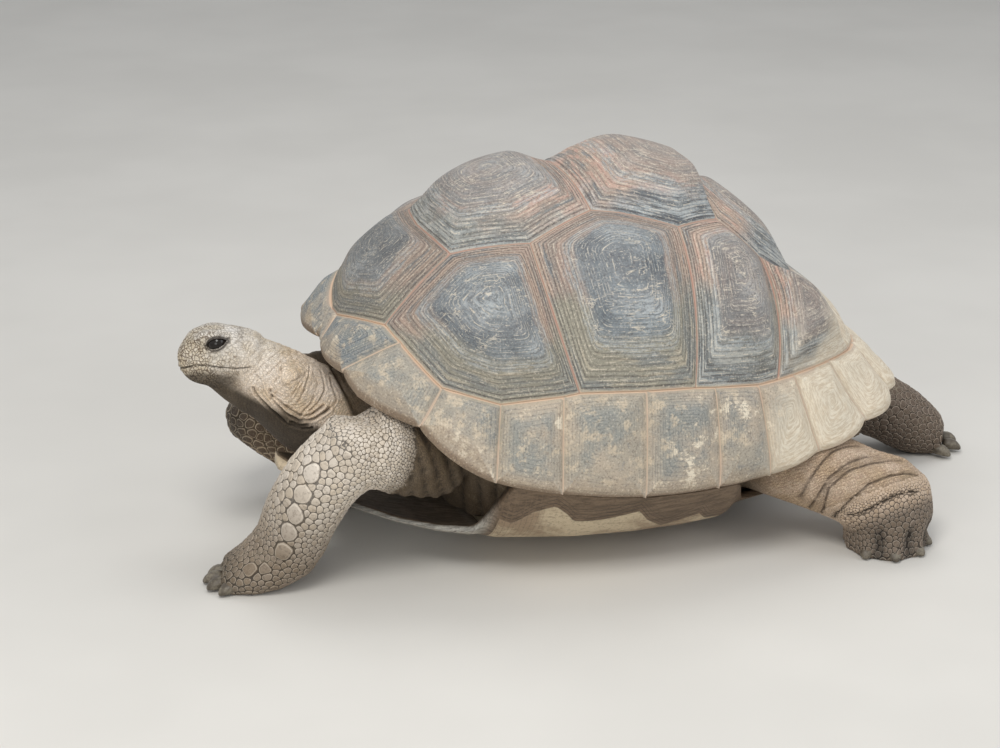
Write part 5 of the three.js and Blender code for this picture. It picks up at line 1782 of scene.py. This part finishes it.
def unwrap_for_bake(mesh):
    """The UV map named OFBake, from the place each scale was given while it was flat."""
    uv = np.empty((2, len(mesh.vertices)))
    for row, key in zip(uv, ("patch_u", "patch_v")):
        mesh.attributes[key].data.foreach_get("value", row)
    corners = np.empty(len(mesh.loops), dtype=np.int32)
    mesh.loops.foreach_get("vertex_index", corners)
    layer = mesh.uv_layers.new(name="OFBake")
    layer.data.foreach_set("uv", uv.T[corners].astype(np.float32).reshape(-1))


def scaled_piece(name, points, normals, radius, first_seeds, core, uv_of):
    kept = scatter(points, radius, first_seeds)
    points, normals, radius = points[kept], normals[kept], radius[kept]
    mesh, count = flat_scales(name, points, normals, radius, core, uv_of(points))
    piece = into_scene(name, mesh)
    raising = piece.modifiers.new("raise", "NODES")
    raising.node_group = RAISE
    set_inputs(raising, Rise=RISE, Shoulder=SHOULDER, Crown_Rise=CROWN_RISE, Crown=CROWN, Horn=scale_horn)
    mesh = apply_modifiers(piece)
    mesh.shade_smooth()
    unwrap_for_bake(mesh)
    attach(piece, "root")
    return piece, count


print("a scale rises by", RISE + CROWN_RISE, "of its radius")

# %% [markdown]
# Each limb has its own rule for how large a scale may grow, written as a few stations along the limb.
# The great scales down the outer edge of the foreleg are placed first, and the rest fill in round them.

# %% Scales of the legs
GREAT_TOP, GREAT_LOW = (-0.596, -0.273, 0.251), (-0.648, -0.248, 0.097)
GREAT_COUNT, GREAT_SIZE = 5, 0.0205
OUTER_EDGE = [tuple(np.add(GREAT_TOP, np.subtract(GREAT_LOW, GREAT_TOP) * t))
              for t in np.linspace(0, 1, GREAT_COUNT)]
AT_WRIST = [((-0.700, -0.216, 0.056), 0.015), ((-0.678, -0.231, 0.058), 0.010)]
GREAT_SCALES = [(p, GREAT_SIZE) for p in OUTER_EDGE] + AT_WRIST
SCALED = {  # stations down the limb, radius there in mm, share of dark hearts, great scales, seed
    "foreleg_left": ([0.10, 0.15, 0.20, 0.27, 0.33, 0.37, 0.42, 0.47],
                     [2.3, 2.6, 4.8, 6.6, 6.4, 5.0, 6.0, 6.5], 0.15, GREAT_SCALES, 11),
    "foreleg_right": ([0.16, 0.22, 0.30, 0.40, 0.47, 0.55, 0.62],
                      [3.6, 6.5, 8.0, 7.5, 6.5, 6.0, 6.5], 0.85, [], 12),
    "hindleg_left": ([0.182, 0.196, 0.210, 0.225, 0.250], [2.1, 2.6, 3.8, 5.0, 5.6], 0.1, [], 13),
    "hindleg_right": ([0.14, 0.20, 0.30, 0.42, 0.55], [3.6, 5.2, 6.0, 6.6, 6.6], 0.55, [], 14),
}
SAMPLES, UNEVEN, FRONT_LARGER, UPPER_ARM, LOWEST_SEED = 40000, 0.22, 0.45, 0.36, 0.004
UV_EDGE, UV_SPAN, UV_REACH = 0.02, 0.96, 0.75


def down_limb(points, limb):
    """How far down the limb a point is by its stations and by its middle line, and its turn."""
    run, around, _ = along_limb(points - HOME, limb)
    return ((points - HOME) @ TO_SOLE if limb == "hindleg_left" else run), run, around


for limb, (stations, sizes, core, great, seed) in SCALED.items():
    pick = np.random.default_rng(seed)
    mine = (share[limb] > 0.5) & (reach[limb] > stations[0])
    spots, outward = surface_samples(skin.data, mine, SAMPLES, pick)
    if great:
        gap = np.linalg.norm(spots[None] - (np.array([p for p, _ in great]) + HOME)[:, None], axis=2)
        order = gap.argmin(axis=1)
        order = np.concatenate([order, np.setdiff1d(np.arange(len(spots)), order)])
        spots, outward = spots[order], outward[order]
    down, run, _ = down_limb(spots, limb)
    radius = np.interp(down, stations, sizes) / 1000
    if limb.startswith("fore"):
        radius *= 1 + FRONT_LARGER * np.clip(-outward[:, 0], 0, 1) * (run < UPPER_ARM)
    radius *= pick.uniform(1 - UNEVEN, 1 + UNEVEN, len(spots))
    radius[:len(great)] = [r for _, r in great]
    high = spots[:, 2] > LOWEST_SEED
    spots, outward, radius = spots[high], outward[high], radius[high]

    def limb_uv(points, limb=limb):
        _, run, around = down_limb(points, limb)
        across = UV_EDGE + UV_SPAN * (around / (2 * math.pi) + 0.5)
        return np.stack([across, UV_EDGE + UV_SPAN * run / UV_REACH], 1)

    piece, count = scaled_piece(f"scales_{limb}", spots, outward, radius, len(great), core, limb_uv)
    print(piece.name, count, "scales,", sum(len(q.vertices) - 2 for q in piece.data.polygons), "triangles")

# %% [markdown]
# Claws are blunt cones of horn, one for each place in the fans that the toes were cut from. A claw is
# a few rings along its length, closed at both ends.

# %% Claws
CLAW_RINGS = [(-0.012, 0.80, 0.003), (-0.002, 1.05, 0.003), (0.008, 1.04, 0.002), (0.016, 0.88, 0.000),
              (0.022, 0.62, -0.003), (0.0255, 0.30, -0.005)]
CLAW_WIDE, CLAW_HIGH, CLAW_SIDES = 0.0128, 0.0108, 20
CLAW_TIP, CLAW_LOWEST, CLAW_TURN = (0.0265, -0.0055), 0.0006, 0.55
CLAW_DARK, CLAW_PALE, CLAW_STREAK = colour(76, 68, 57), colour(122, 114, 99), colour(76, 66, 56)


def claw(middle, bearing):
    """One blunt claw as points and faces."""
    ahead = np.array([math.cos(bearing), math.sin(bearing), 0])
    aside = np.array([-ahead[1], ahead[0], 0])
    turn = np.linspace(0, 2 * math.pi, CLAW_SIDES, endpoint=False)
    points = []
    for out, scale, up in CLAW_RINGS:
        centre = middle + ahead * out + np.array([0, 0, up])
        ring = centre + np.outer(np.cos(turn), aside) * CLAW_WIDE * scale
        ring[:, 2] += np.sin(turn) * CLAW_HIGH * scale
        points.append(ring)
    points.append([middle + ahead * CLAW_TIP[0] + np.array([0, 0, CLAW_TIP[1]])])
    points = np.concatenate(points)
    points[:, 2] = np.maximum(points[:, 2], CLAW_LOWEST)
    last, tip = (len(CLAW_RINGS) - 1) * CLAW_SIDES, len(CLAW_RINGS) * CLAW_SIDES
    faces = bands(len(CLAW_RINGS), CLAW_SIDES).tolist()
    faces.append(list(range(CLAW_SIDES))[::-1])
    faces += [[last + k, last + (k + 1) % CLAW_SIDES, tip] for k in range(CLAW_SIDES)]
    return points, faces


def claw_tree(tree, shader):
    spot = place(tree)
    blotch, fine = grain(tree, spot, 60, 5.0, 0.6), grain(tree, spot, 300, 3.0, 0.6)
    base = mix(tree, between(tree, blotch, 0.38, 0.62), CLAW_DARK, CLAW_PALE)
    base = mix(tree, times(tree, between(tree, fine, 0.52, 0.38), 0.5), base, CLAW_STREAK)
    tree.links.new(base, shader.inputs["Base Color"])
    bump(tree, shader, plus(tree, blotch, fine), 0.4, 0.0008)


claw_horn = finish_material("claw_horn", claw_tree, 0.5)
for foot, (x, y, z, bearing, fan, ahead, aside, count) in CLAW_FANS.items():
    points, faces = [], []
    f = math.radians(bearing)
    for i in range(count):
        q = math.radians(fan) * (0.5 - i / (count - 1))
        out, side = ahead * math.cos(q), aside * math.sin(q)
        middle = HOME + np.array([x + math.cos(f) * out - math.sin(f) * side,
                                  y + math.sin(f) * out + math.cos(f) * side, z])
        made, made_faces = claw(middle, f + CLAW_TURN * q)
        faces += [[v + i * len(made) for v in face] for face in made_faces]
        points.append(made)
    mesh = bpy.data.meshes.new(f"claws_{foot}")
    mesh.from_pydata(np.concatenate(points).tolist(), [], faces)
    mesh.materials.append(claw_horn)
    mesh.shade_smooth()
    claws = into_scene(f"claws_{foot}", mesh)
    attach(claws, "root")
print("claws on", len(CLAW_FANS), "feet")
